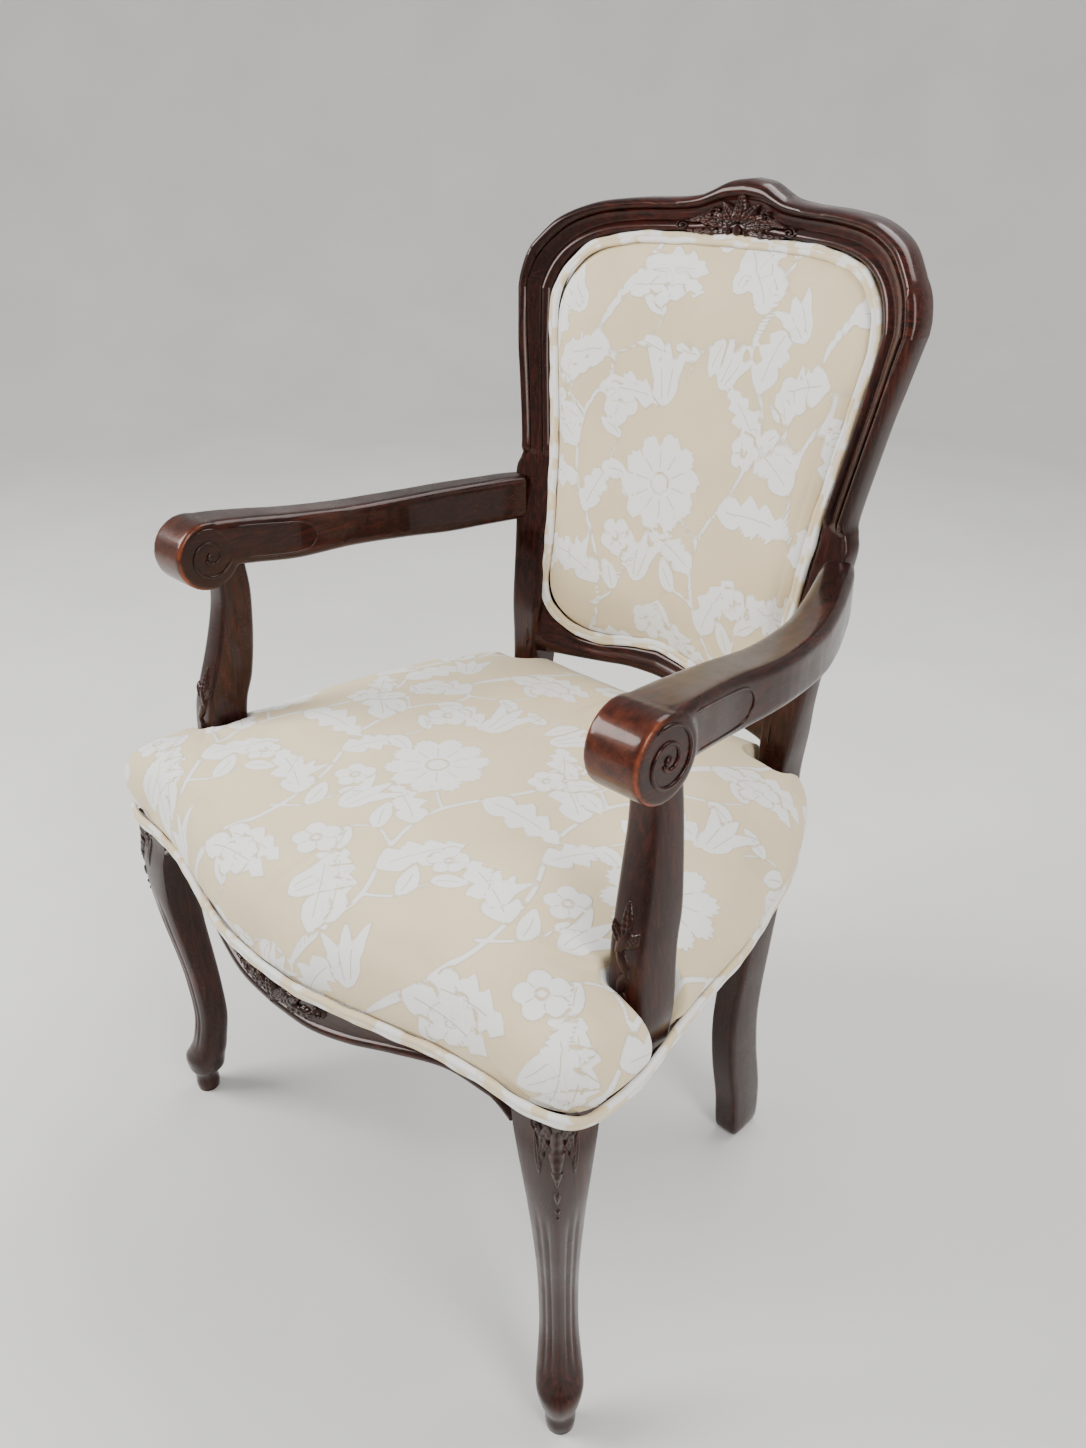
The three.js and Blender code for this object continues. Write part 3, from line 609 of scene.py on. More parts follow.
def add_camera():
    data = bpy.data.cameras.new("camera")
    data.sensor_width = 36.0
    data.sensor_fit = "AUTO"
    data.lens = 28.8
    data.shift_x = -0.0157
    data.shift_y = -0.0089
    camera = placed("camera", data)
    turn = (AIM - EYE).to_track_quat("-Z", "Y").to_matrix().to_4x4()
    camera.matrix_world = Matrix.Translation(EYE) @ turn @ Matrix.Rotation(ROLL, 4, "Z")
    bpy.context.scene.camera = camera


def add_light(name, place, aim, size, power):
    data = bpy.data.lights.new(name, "AREA")
    data.shape = "RECTANGLE"
    data.size, data.size_y = size
    data.energy = power
    lamp = placed(name, data)
    lamp.location = place
    lamp.rotation_euler = (Vector(aim) - Vector(place)).to_track_quat("-Z", "Y").to_euler()


# The studio is a wide bowl: a flat floor, then a curve up to a wall.
STUDIO = {"inner": (0.2, 1.5), "flat": 3.2, "curve": 1.6, "top": 2.6, "sides": 96, "steps": 12}


def add_world():
    world = bpy.data.worlds.new("studio")
    world.use_nodes = True
    background = world.node_tree.nodes["Background"]
    background.inputs["Color"].default_value = (0.90, 0.91, 0.93, 1)
    background.inputs["Strength"].default_value = 0.5
    bpy.context.scene.world = world


def add_floor():
    look = Look("floor")
    shade = look.spread(look.noise(look.where, 3.0), 0.3, 0.7)
    colour = look.mix(shade, (0.70, 0.69, 0.665), (0.75, 0.74, 0.715))
    flat, curve, sides = STUDIO["flat"], STUDIO["curve"], STUDIO["sides"]
    profile = [(radius, 0.0) for radius in STUDIO["inner"]]
    profile += [(flat + curve * math.sin(t), curve * (1 - math.cos(t)))
                for t in np.linspace(0, math.pi / 2, STUDIO["steps"])]
    profile.append((flat + curve, STUDIO["top"]))
    angles = turn_angles(sides)
    rings = [np.column_stack([radius * np.cos(angles), radius * np.sin(angles), np.full(sides, z)])
             for radius, z in profile]
    mesh = bpy.data.meshes.new("floor")
    mesh.from_pydata(np.vstack(rings).tolist(), [], loft_faces(len(rings), sides, False)[:-1])
    smooth_all(mesh)
    mesh.materials.append(look.finish({"Base Color": colour, "Roughness": 0.75}))
    placed("floor", mesh)


def add_stage():
    add_world()
    add_floor()
    add_light("window", (-1.9, -1.7, 2.3), (0, 0, 0.5), (1.5, 1.5), 118)
    add_light("room", (2.3, -0.6, 1.9), (0, 0, 0.5), (0.9, 1.8), 46)
    add_light("ceiling", (0.2, 1.2, 2.8), (0, 0.1, 0.5), (2.2, 1.4), 60)


add_camera()
add_stage()

# ------------------------------------------------------------------ back frame
# The moulding across a bar of the back frame: share of its width from the padding outwards,
# and depth behind its face (a minus is proud of it). The last five points are its rear.
MOULDING = [
    (0.00, 9.0), (0.00, 1.5), (0.02, -1.2), (0.07, -3.2), (0.13, -4.0), (0.19, -3.6), (0.24, -2.2),
    (0.27, -0.4), (0.30, 0.6), (0.33, -0.6), (0.38, -1.3), (0.45, -1.6), (0.52, -2.2), (0.58, -3.2),
    (0.62, -4.2), (0.645, -3.0), (0.665, -2.2), (0.69, -4.2), (0.74, -6.3), (0.81, -7.4),
    (0.88, -6.8), (0.94, -4.6), (0.98, -1.2), (1.0, 4.0),
    (1.0, 20.0), (0.965, 24.5), (0.90, 26.0), (0.10, 26.0), (0.03, 24.0),
]
REAR_POINTS = 5
EASE_DEPTH, EASE_SHARE = 4.5, 0.11


def plain_profile():
    """The same points laid round a plain bar with eased corners."""
    front = MOULDING[:-REAR_POINTS]
    out = []
    for share, _ in front:
        edge = min(share, 1 - share)
        out.append((share, EASE_DEPTH * (1 - min(1.0, edge / EASE_SHARE)) ** 2))
    out[0] = (0.0, 9.0)
    out[-1] = (1.0, 9.0)
    return out + MOULDING[-REAR_POINTS:]


PLAIN = plain_profile()
# Height, outer x, width, front y and depth of a rear post.
POST_ROWS = [
    (0, 219, 24, 118, 36), (10, 222, 29, 111, 46), (55, 221, 30, 109, 49), (110, 219, 30, 101, 50),
    (158, 217, 30, 99, 50), (198, 215, 30, 105, 50), (248, 214, 30, 117, 49),
    (300, 212, 30, 131, 48), (360, 207, 30, 149, 47), (410, 201, 30, 166, 46),
    (450, 198, 31, 177, 44), (490, 202, 38, 183, 40), (540, 207, 43, 188, 35),
    (633, 216, 41, 207, 30), (684, 223, 41, 217, 28), (702, 219, 37, 221, 27),
    (719, 217, 33, 224, 26), (785, 228, 33.5, 236, 26), (827, 236, 35, 245, 26),
    (884, 247, 40, 257, 26),
]
MOULD_START = 704.0
FACE_JOINS_BACK = (520.0, 640.0)
REAR_DEPTH = 12.0


def rear_post(side_name):
    """Plain below, moulded above the arms; its front runs into the face of the back."""
    rings = []
    for z, outer, width, front, depth in catmull(POST_ROWS, 6):
        moulded = float(smoothstep(MOULD_START, MOULD_START + 9, z))
        inner_edge = outer - width
        ring = []
        for (s0, d0), (s1, d1) in zip(PLAIN, MOULDING):
            share = s0 + (s1 - s0) * moulded
            d = d0 + (d1 - d0) * moulded
            if d > REAR_DEPTH:
                d = d - FRAME_THICKNESS + depth
            x = inner_edge + width * share
            blend = float(smoothstep(*FACE_JOINS_BACK, z))
            face = front * (1 - blend) + float(back_y(x, z)) * blend
            ring.append((x, face + d, z))
        rings.append(ring)
    return mirror_points(rings, SIDES[side_name])


CREST_STATIONS = [
    (207, 884, 247, 884), (203, 897, 246.5, 898), (196, 911, 241, 918), (185, 924, 229, 936),
    (168, 934, 208, 957), (148, 940.5, 172, 971.5), (118, 945, 128, 977), (80, 947, 82, 979),
    (55, 947.6, 55, 982.5), (40, 948, 40, 988), (22, 948, 22, 996), (0, 948, 0, 999),
]
BOTTOM_STATIONS = [
    (177, 562, 177, 474), (163, 541, 163, 477), (148, 522, 148, 479), (116, 508, 108, 482),
    (79, 507, 70, 486), (40, 514, 36, 490), (0, 519, 0, 491),
]


def frame_bar(stations, steps, profile):
    half = catmull(stations, steps)
    left = half[:-1][::-1] * np.array([-1, 1, -1, 1])
    rings = []
    for ix, iz, ox, oz in np.vstack([half, left]):
        ring = []
        for share, depth in profile:
            x, z = ix + (ox - ix) * share, iz + (oz - iz) * share
            ring.append((x, float(back_y(x, z)) + depth, z))
        rings.append(ring)
    return rings


BOTTOM_PROFILE = [
    (0.00, 9.0), (0.00, 1.5), (0.05, -0.6), (0.14, -1.4), (0.25, -1.4), (0.38, -2.4), (0.52, -3.8),
    (0.66, -4.4), (0.80, -3.6), (0.91, -1.2), (0.98, 2.5), (1.0, 7.0),
    (1.0, 20.0), (0.95, 24.5), (0.86, 26.0), (0.14, 26.0), (0.04, 24.0),
]


def add_back_frame():
    for name in SIDES:
        post = loft(f"post_{name}", rear_post(name), WOOD_UPRIGHT)
        own(post, "mahogany", f"rear_post_{name}")
    crest = loft("crest", frame_bar(CREST_STATIONS, 7, MOULDING), WOOD_ALONG_X)
    own(crest, "mahogany", "crest_rail")
    bottom = loft("lower_back_rail", frame_bar(BOTTOM_STATIONS, 6, BOTTOM_PROFILE), WOOD_ALONG_X)
    own(bottom, "mahogany", "back_bottom_rail")


# ------------------------------------------------------------------ front legs
FRONT_FOOT = (300.0, -261.0)
LEG_ROWS = [
    (0, 0, 12.5, 13, 2.0), (9, 0, 13.5, 14, 2.0), (20, 0, 13, 14, 2.0), (27, -1, 16, 15.5, 1.9),
    (34, -2, 21, 18.5, 1.8), (50, -3, 23.5, 21.5, 1.7), (62, -8, 22, 21.3, 1.6),
    (78, -13, 20, 20, 1.5), (115, -19, 19.5, 17.6, 1.45), (162, -18, 20, 17.5, 1.4),
    (200, -15, 21, 18.5, 1.4), (253, -9, 23.5, 21.5, 1.35), (300, -6, 26, 25.5, 1.28),
    (345, -10, 30.5, 31, 1.15), (372, -17, 34, 34.4, 1.05), (402, -18.4, 34.9, 34.9, 1.0),
]
LEG_POINTS = 72
LEG_STEPS = 7
FLUTES = {"places": (-0.92, -0.46, 0.46, 0.92), "width": 0.008, "depth": 0.075}
DIAGONAL = math.sqrt(0.5)


def leg_reach(c, s, fullness):
    """How far a leg's edge is from its axis: a fullness of 2 is round, and 1 is a square's corner."""
    return (np.abs(c) ** fullness + np.abs(s) ** fullness) ** (-1 / fullness)


def on_leg(out, across, z):
    """A place on a leg, from how far it is out along the chair's diagonal and across it."""
    return np.stack([FRONT_FOOT[0] + out + across, FRONT_FOOT[1] - out + across, z], -1)


def leg_rings(side_name):
    rings = []
    angles = turn_angles(LEG_POINTS)
    c, s = np.cos(angles), np.sin(angles)
    groove = sum(np.exp(-((angles + math.pi) % (2 * math.pi) - math.pi - place) ** 2 / FLUTES["width"])
                 for place in FLUTES["places"])
    for z, offset, deep, wide, fullness in catmull(LEG_ROWS, LEG_STEPS):
        fluted = float(smoothstep(60, 100, z) * (1 - smoothstep(262, 300, z)))
        cut = 1 - FLUTES["depth"] * fluted * smoothstep(0.0, 0.35, c) * groove
        reach = leg_reach(c, s, fullness)
        out = (offset + deep * c * reach * cut) * DIAGONAL
        rings.append(on_leg(out, wide * s * reach * cut * DIAGONAL, np.full(LEG_POINTS, z)))
    return mirror_points(rings, SIDES[side_name])


def add_front_legs():
    for name in SIDES:
        leg = loft(f"cabriole_leg_{name}", leg_rings(name), WOOD_UPRIGHT)
        own(leg, "mahogany", f"front_leg_{name}")


# ------------------------------------------------------------------ seat rails
RAIL_SHOULDER = 401.0
RAIL_TOP = 425.0
FRONT_RAIL_HALF = [
    (262, -272.5, 366), (248, -273.6, 376), (235, -275, 379), (193, -280, 380), (143, -294, 372),
    (95, -306, 360), (50, -314, 353), (0, -316, 351),
]
SIDE_RAIL_ROWS = [
    (311.5, -222.5, 368), (314.5, -205, 376), (315, -192, 378), (310, -150, 381), (302, -99, 380),
    (291, -29, 379), (273, 32, 377), (249, 90, 373), (224, 138, 366), (209, 163, 362),
]


def rail_rings(rows):
    rows = np.array(rows, float)
    normal = plan_normals(rows[:, :2])
    rings = []
    for (x, y, low), n in zip(rows, normal):
        section = [
            (-28, low), (-9, low), (-3.5, low - 1.2), (0.2, low - 1.0), (2.2, low + 1.5),
            (2.2, low + 4.5), (0.6, low + 6.8), (-1.6, low + 8.0), (-2.2, low + 10.5),
            (-1.6, RAIL_SHOULDER - 8), (-0.6, RAIL_SHOULDER - 3), (-2.0, RAIL_SHOULDER),
            (-10, RAIL_SHOULDER + 0.3), (-10, RAIL_TOP), (-28, RAIL_TOP),
        ]
        rings.append([(x + n[0] * out, y + n[1] * out, z) for out, z in section])
    return rings


def add_rails():
    half = catmull(FRONT_RAIL_HALF, 7)
    rows = np.vstack([half * np.array([-1, 1, 1]), half[:-1][::-1]])
    front = loft("front_rail", rail_rings(rows), WOOD_ALONG_X)
    own(front, "mahogany", "front_seat_rail")
    for name, side in SIDES.items():
        rings = mirror_points(rail_rings(catmull(SIDE_RAIL_ROWS, 6)), side)
        rail = loft(f"side_rail_{name}", rings, WOOD_ALONG_Y)
        own(rail, "mahogany", f"side_seat_rail_{name}")


# ------------------------------------------------------------------ arms
ARM_ROWS = [
    (294, -165, 703, 657, 24.8), (292, -140, 701, 652, 24.6), (288, -108, 697, 647, 23.4),
    (283, -61, 690, 640, 22),
    (281, 8, 681, 636, 21.5), (270, 78, 678, 630, 20), (254, 128, 679, 627, 19),
    (238, 168, 680, 628, 18), (225, 198, 681, 629, 17), (214, 220, 681, 630, 15),
]
SCROLL = {"x": 294.0, "y": -165.0, "z": 668.0, "radius": 35.0, "width": 50.0}
DRUM_SIDES = 64
SUPPORT_ROWS = [
    (404, 303, -166, 15.5, 19.5), (418, 303, -166, 16.5, 21), (440, 303, -166, 18, 22),
    (491, 300, -162, 17, 24), (521, 297, -154, 16.5, 25), (558, 293, -146, 16, 22),
    (595, 290, -140, 15, 19), (622, 288, -138, 14.5, 17.5), (650, 287, -140, 14, 17),
]


def rounded_section(half_u, half_v, radius, per_corner):
    points = []
    for corner, (su, sv) in enumerate(((1, 1), (-1, 1), (-1, -1), (1, -1))):
        for i in range(per_corner):
            angle = (corner + i / (per_corner - 1)) * math.pi / 2
            points.append((su * (half_u - radius) + radius * math.cos(angle),
                           sv * (half_v - radius) + radius * math.sin(angle)))
    return points


def arm_rings():
    rows = catmull(ARM_ROWS, 5)
    normal = plan_normals(rows[:, :2])
    rings = []
    for (x, y, top, bottom, half), n in zip(rows, normal):
        section = rounded_section(half, (top - bottom) / 2, 7.5, 6)
        rings.append([(x + n[0] * u, y + n[1] * u, (top + bottom) / 2 + v) for u, v in section])
    return rings


def drum_rings():
    """The scroll: a short drum across the arm, with eased rims."""
    rings = []
    half = SCROLL["width"] / 2
    eased = [(0.0, 2.5), (0.8, 0.8), (2.6, 0.0)]
    stations = [(inset - half, less) for inset, less in eased]
    stations += [(half - inset, less) for inset, less in eased[::-1]]
    angles = turn_angles(DRUM_SIDES)
    for x, less in stations:
        radius = SCROLL["radius"] - less
        rings.append(np.stack([np.full(DRUM_SIDES, SCROLL["x"] + x), SCROLL["y"] + radius * np.cos(angles),
                               SCROLL["z"] + radius * np.sin(angles)], 1))
    return rings


def joined_and_remeshed(pieces, name, voxel, smooth_steps, material):
    """Several closed meshes fused into one skin, as carved from one block."""
    target = pieces[0]
    build = bmesh.new()
    for piece in pieces:
        build.from_mesh(piece.data)
    build.to_mesh(target.data)
    build.free()
    for piece in pieces[1:]:
        bpy.data.objects.remove(piece)
    target.name = name
    remesh = target.modifiers.new("fuse", "REMESH")
    remesh.mode = "VOXEL"
    remesh.voxel_size = voxel
    ease = target.modifiers.new("ease", "SMOOTH")
    ease.factor = 0.5
    ease.iterations = smooth_steps
    apply_modifiers(target)
    smooth_all(target.data)
    target.data.materials.clear()
    target.data.materials.append(material)
    return target


def scroll_wear(thing, side):
    """Lacquer rubbed thin along the scroll's rims and over its front."""
    points = drawing_points(thing)
    x, y, z = points[:, 0] * side, points[:, 1], points[:, 2]
    radius = np.hypot(y - SCROLL["y"], z - SCROLL["z"])
    rim = np.exp(-((np.abs(x - SCROLL["x"]) - SCROLL["width"] / 2 + 1.0) / 1.6) ** 2)
    outer = smoothstep(SCROLL["radius"] - 4, SCROLL["radius"] - 1.5, radius)
    ahead = smoothstep(SCROLL["y"] + 8, SCROLL["y"] - 22, y)
    float_attribute(thing, "wear", np.clip((0.75 * rim + 0.22) * ahead * outer, 0, 1))


def add_arms():
    for name, side in SIDES.items():
        bar = loft("arm_bar", mirror_points(arm_rings(), side), WOOD_ALONG_Y)
        drum = loft("arm_drum", mirror_points(drum_rings(), side), WOOD_ALONG_Y)
        arm = joined_and_remeshed([bar, drum], f"scrolled_arm_{name}", 0.0021, 3, WOOD_ALONG_Y)
        scroll_wear(arm, side)
        own(arm, "mahogany", f"arm_{name}")


def add_supports():
    for name, side in SIDES.items():
        rings = []
        for z, x, y, half_x, half_y in catmull(SUPPORT_ROWS, 6):
            section = rounded_section(half_x, half_y, 6, 4)
            rings.append([(x + u, y + v, z) for u, v in section])
        post = loft(f"arm_post_{name}", mirror_points(rings, side), WOOD_UPRIGHT)
        own(post, "mahogany", f"arm_support_{name}")


add_back_frame()
add_front_legs()
add_rails()
add_arms()
add_supports()

# ------------------------------------------------------------------ padded shapes
# Outlines are the half from the middle of the near side round to the middle of the far side.
SEAT_CENTRE = np.array([0.0, -60.0])
SEAT_OUTLINE = [
    (0, -324), (50, -322), (98, -313), (145, -301), (193, -289), (240, -283), (285, -280),
    (317, -269), (330, -248), (331, -200), (320, -150), (311, -99), (301, -29), (285, 32),
    (268, 90), (247, 138), (228, 168), (204, 190), (180, 203), (100, 206), (0, 207),
]
BACK_CENTRE = np.array([0.0, 735.0])
BACK_OUTLINE = [
    (0, 948), (70, 947), (120, 945), (150, 940), (176, 931), (194, 912), (203, 895), (207, 871),
    (201, 829), (191, 765), (184, 722), (177, 655), (172, 600), (171, 565), (166, 541), (150, 523),
    (116, 508), (79, 507), (40, 514), (0, 519),
]
SEAT = {"centre": SEAT_CENTRE, "outline": SEAT_OUTLINE, "reach": 300.0,
        "corners": [(-322, -264), (322, -264), (206, 189), (-206, 189)]}
BACK = {"centre": BACK_CENTRE, "outline": BACK_OUTLINE, "reach": 200.0,
        "corners": [(-163, 535), (163, 535), (196, 909), (-196, 909)]}


def outline_sides(half, corner_points, cells):
    """A closed outline as four runs of `cells` steps between its corner points, in order."""
    dense = mirrored_outline(half, 4000)
    at = [int(np.argmin(np.linalg.norm(dense - np.array(c), axis=1))) for c in corner_points]
    runs = []
    for start, end in zip(at, at[1:] + at[:1]):
        span = (end - start) % len(dense)
        index = (start + np.round(np.linspace(0, span, cells + 1))).astype(int) % len(dense)
        runs.append(dense[index])
    return runs


def coons_patch(runs):
    """A grid of points inside four runs that follow each other round."""
    near, right, far, left = runs[0], runs[1], runs[2][::-1], runs[3][::-1]
    t = np.linspace(0, 1, len(near))
    a, b = t[None, :, None], t[:, None, None]
    ruled = (1 - b) * near[None] + b * far[None] + (1 - a) * left[:, None] + a * right[:, None]
    corners = ((1 - a) * (1 - b) * near[0] + a * (1 - b) * near[-1]
               + (1 - a) * b * far[0] + a * b * far[-1])
    return ruled - corners


def rim_indices(size):
    """The indices of a square grid's rim, in the order of its four runs."""
    last = size - 1
    rim = [(0, i) for i in range(last)] + [(i, last) for i in range(last)]
    rim += [(last, last - i) for i in range(last)] + [(last - i, 0) for i in range(last)]
    return np.array([r * size + c for r, c in rim])


def pad_mesh(name, top, rings, under, material):
    """A closed pad: a top grid, rings round its side, and a grid (or one face) underneath."""
    size = top.shape[0]
    points = [top.reshape(-1, 3)]
    faces = grid_faces(size, size)
    previous = rim_indices(size)
    count = len(previous)
    total = size * size
    for ring in rings:
        points.append(ring)
        index = total + np.arange(count)
        faces += band_faces(previous, index)
        previous = index
        total += count
    if under is None:
        faces.append(previous[::-1])
    else:
        points.append(under.reshape(-1, 3))
        faces += band_faces(previous, total + rim_indices(size))
        faces += [face[::-1] for face in grid_faces(size, size, total)]
    return new_object(name, np.vstack(points), faces, material, 0)


def outline_scale(points, half, centre):
    """How far out each point is, as a share of the outline in its direction."""
    dense = mirrored_outline(half, 3000) - centre
    angle = np.arctan2(dense[:, 1], dense[:, 0])
    order = np.argsort(angle)
    offset = points - centre
    reach = np.interp(np.arctan2(offset[..., 1], offset[..., 0]), angle[order],
                      np.linalg.norm(dense[order], axis=1), period=2 * math.pi)
    return np.linalg.norm(offset, axis=-1) / reach


def pad_shape(kind, cells, rows, edge, lift):
    """A pad's top, the rings down its side, its lower grid's plan, and its points on flat cloth.

    Each row is a share of the outline and a height; lift turns plan points and heights into places.
    """
    centre = kind["centre"]
    runs = outline_sides(kind["outline"], kind["corners"], cells)
    grid = coons_patch(runs) - centre
    rim_scale = rows[edge, 0]
    plan = centre + rim_scale * grid
    share = outline_scale(plan, kind["outline"], centre)
    height = np.interp(share, rows[:edge + 1, 0], rows[:edge + 1, 1])
    away = np.vstack([run[:-1] for run in runs]) - centre
    unit = away / np.linalg.norm(away, axis=1, keepdims=True)
    step = np.diff(rows[edge:], axis=0)
    down = np.cumsum(np.hypot(step[:, 0] * kind["reach"], step[:, 1]))
    rings = [lift(centre + scale * away, z) for scale, z in rows[edge + 1:]]
    cloth = [plan.reshape(-1, 2)] + [centre + rim_scale * away + unit * d for d in down]
    return lift(plan, height), rings, centre + rows[-1, 0] * grid, cloth


def store_cloth(thing, cloth):
    for name, values in zip(CLOTH_PLACE, np.vstack(cloth).T):
        float_attribute(thing, name, values)


PRESSURE = 4.0
CLOTH_FRAMES = 20


def inflate(thing, pinned, cap):
    """Blow a pad up gently as cloth, and let no point go further than the cap, in metres."""
    group = thing.vertex_groups.new(name="pinned")
    group.add([int(i) for i in np.nonzero(pinned)[0]], 1.0, "REPLACE")
    before = np.empty(len(thing.data.vertices) * 3)
    thing.data.vertices.foreach_get("co", before)
    cloth = thing.modifiers.new("cloth", "CLOTH")
    cloth.settings.vertex_group_mass = "pinned"
    cloth.settings.quality = 5
    cloth.settings.mass = 0.25
    cloth.settings.tension_stiffness = 12
    cloth.settings.compression_stiffness = 8
    cloth.settings.shear_stiffness = 6
    cloth.settings.bending_stiffness = 0.35
    cloth.settings.use_pressure = True
    cloth.settings.uniform_pressure_force = PRESSURE
    cloth.settings.effector_weights.gravity = 0.0
    cloth.point_cache.frame_start = 1
    cloth.point_cache.frame_end = CLOTH_FRAMES
    scene = bpy.context.scene
    for step in range(1, CLOTH_FRAMES + 1):
        scene.frame_set(step)
    graph = bpy.context.evaluated_depsgraph_get()
    blown = np.empty(len(before))
    thing.evaluated_get(graph).data.vertices.foreach_get("co", blown)
    thing.modifiers.clear()
    scene.frame_set(1)
    move = (blown - before).reshape(-1, 3)
    length = np.linalg.norm(move, axis=1, keepdims=True)
    move *= np.minimum(1.0, cap / np.maximum(length, 1e-9))
    thing.data.vertices.foreach_set("co", before + move.ravel())
    thing.vertex_groups.clear()


def subdivide(thing):
    smooth = thing.modifiers.new("finer", "SUBSURF")
    smooth.levels = smooth.render_levels = 2
    apply_modifiers(thing)


def set_drawing_points(thing, points):
    thing.data.vertices.foreach_set("co", to_world(points).astype(np.float32).ravel())
    thing.data.update()


# ------------------------------------------------------------------ seat cover
# Share of the outline and height, from the middle of the crown to the tucked lower edge.
SEAT_ROWS = [
    (0.0, 490), (0.25, 489.5), (0.5, 487.5), (0.72, 483), (0.89, 475.5), (0.978, 466), (1.018, 451),
    (1.027, 434), (1.018, 421), (0.997, 413), (0.986, 408), (0.984, 404),
]
SEAT_EDGE_ROW = 5
SEAT_STEPS = 2
TUCK_FLOOR = 412.0
TUCK_SHARE = 0.972
TUCK_ROLL = 15.0


# Plan boxes of the wood that stands up through the seat on its +x side, just inside its faces.
NOTCHES = [((289, -183), (420, -147), 6), ((169, 170), (200, 420), 5)]


def box_distance(x, y, low, high, radius):
    cx, cy = (low[0] + high[0]) / 2, (low[1] + high[1]) / 2
    qx = np.abs(x - cx) - (high[0] - low[0]) / 2 + radius
    qy = np.abs(y - cy) - (high[1] - low[1]) / 2 + radius
    return np.hypot(np.maximum(qx, 0), np.maximum(qy, 0)) + np.minimum(np.maximum(qx, qy), 0) - radius


def notch_distance(x, y):
    """Distance to the nearest wood that stands up through the seat; below nought inside it."""
    return np.minimum(*(box_distance(np.abs(x), y, *notch) for notch in NOTCHES))


def tucked(points):
    """Turn the cover down and in where it meets the arm supports and the rear posts."""
    out = points.copy()
    gap = notch_distance(points[:, 0], points[:, 1])
    roll = np.sin(np.clip(gap / TUCK_ROLL, 0, 1) * math.pi / 2)
    high = points[:, 2] > TUCK_FLOOR
    out[high, 2] = TUCK_FLOOR + (points[high, 2] - TUCK_FLOOR) * roll[high]
    share = outline_scale(points[:, :2], SEAT_OUTLINE, SEAT_CENTRE)
    inward = (1 - roll) * (1 - np.minimum(1.0, TUCK_SHARE / share))
    out[:, :2] -= (points[:, :2] - SEAT_CENTRE) * inward[:, None]
    return out


def on_seat(plan, z):
    return np.stack([plan[..., 0], plan[..., 1], np.broadcast_to(z, plan.shape[:-1])], -1)


# Pulls in the cover by an arm support: direction, width, reach, lift, and how gently each starts.
PULL_FROM = (286.0, -189.0)
PULLS = [(3.45, 5.5, 74, 2.6, 4), (3.72, 4.5, 60, -1.6, 2), (4.05, 6.0, 48, 2.0, 4), (2.9, 5.0, 52, 1.2, 4)]


def seat_folds(points):
    """Pulls that run from the arm supports, corner pleats and the slow waves of real stuffing."""
    out = points.copy()
    side = np.where(points[:, 0] < 0, -1.0, 1.0)
    x, y, z = np.abs(points[:, 0]), points[:, 1], points[:, 2]
    upper = smoothstep(430, 452, z)
    for angle, width, reach, lift, start in PULLS:
        a, b = own_axes(x, y, *PULL_FROM, angle)
        b = b - 0.10 * reach * np.clip(a / reach, 0, 1) ** 2
        fade = smoothstep(-start, 8, a) * (1 - smoothstep(0.35 * reach, reach, a))
        out[:, 2] += lift * upper * fade * np.exp(-(b / width) ** 2)
    wave = (np.sin(x / 47 + 1.3 * side) * np.cos(y / 61 + 0.6) + 0.6 * np.sin((x + y) / 33 + side))
    out[:, 2] += 0.8 * upper * wave
    out += corner_pleats(points, side, x, y, z)
    return out


PLEAT = {"x": 322.0, "y": -266.0, "z": 409.0, "panel": -3.8, "long": 3.0, "short": 2.0}
CORNER_INNER = (240.0, -190.0)


def corner_pleats(points, side, x, y, z):
    """Two folds that gather the cover at each front corner, with a sunk panel between them."""
    outward = np.column_stack([x - CORNER_INNER[0], y - CORNER_INNER[1]])
    outward /= np.linalg.norm(outward, axis=1, keepdims=True)
    along = ((x - PLEAT["x"]) + (y - PLEAT["y"])) * DIAGONAL
    up = z - PLEAT["z"]
    near = 1 - smoothstep(40, 62, np.hypot(x - PLEAT["x"], y - PLEAT["y"]))
    outside = smoothstep(0.93, 0.98, outline_scale(points[:, :2], SEAT_OUTLINE, SEAT_CENTRE))
    near = near * outside * smoothstep(-6, 0, up)
    long_fold = up - 0.62 * along - 0.004 * along ** 2
    short_fold = up + 0.85 * along
    panel = smoothstep(1.0, 8.0, up) * (1 - smoothstep(14, 24, up))
    between = (1 - smoothstep(-1.5, 1.5, -long_fold)) * (1 - smoothstep(-1.5, 1.5, -short_fold))
    ridge = np.exp(-(long_fold / 2.2) ** 2) * smoothstep(0, 5, along) * (1 - smoothstep(28, 40, along))
    lip = np.exp(-(short_fold / 2.0) ** 2) * smoothstep(0, 4, -along) * (1 - smoothstep(12, 20, -along))
    push = near * (PLEAT["panel"] * between * panel + PLEAT["long"] * ridge + PLEAT["short"] * lip)
    return np.column_stack([side * push * outward[:, 0], push * outward[:, 1], np.zeros(len(points))])


SEAT_CELLS = 58
SEAT_CAP = 0.006
SEAT_HELD = {"z": 409.0, "gap": 4.0}


def add_seat_cover():
    top, rings, _, cloth = pad_shape(SEAT, SEAT_CELLS, catmull(SEAT_ROWS, SEAT_STEPS),
                                     SEAT_STEPS * SEAT_EDGE_ROW, on_seat)
    cover = pad_mesh("seat_upholstery", top, rings, None, SEAT_CLOTH)
    points = drawing_points(cover)
    store_cloth(cover, cloth)
    pinned = (points[:, 2] < SEAT_HELD["z"]) | (notch_distance(points[:, 0], points[:, 1]) < SEAT_HELD["gap"])
    inflate(cover, pinned, SEAT_CAP)
    subdivide(cover)
    set_drawing_points(cover, tucked(seat_folds(drawing_points(cover))))
    lay_cloth(cover, (165, 292))
    own(cover, "seat_fabric", "seat_cover", "seat_foam")


add_seat_cover()

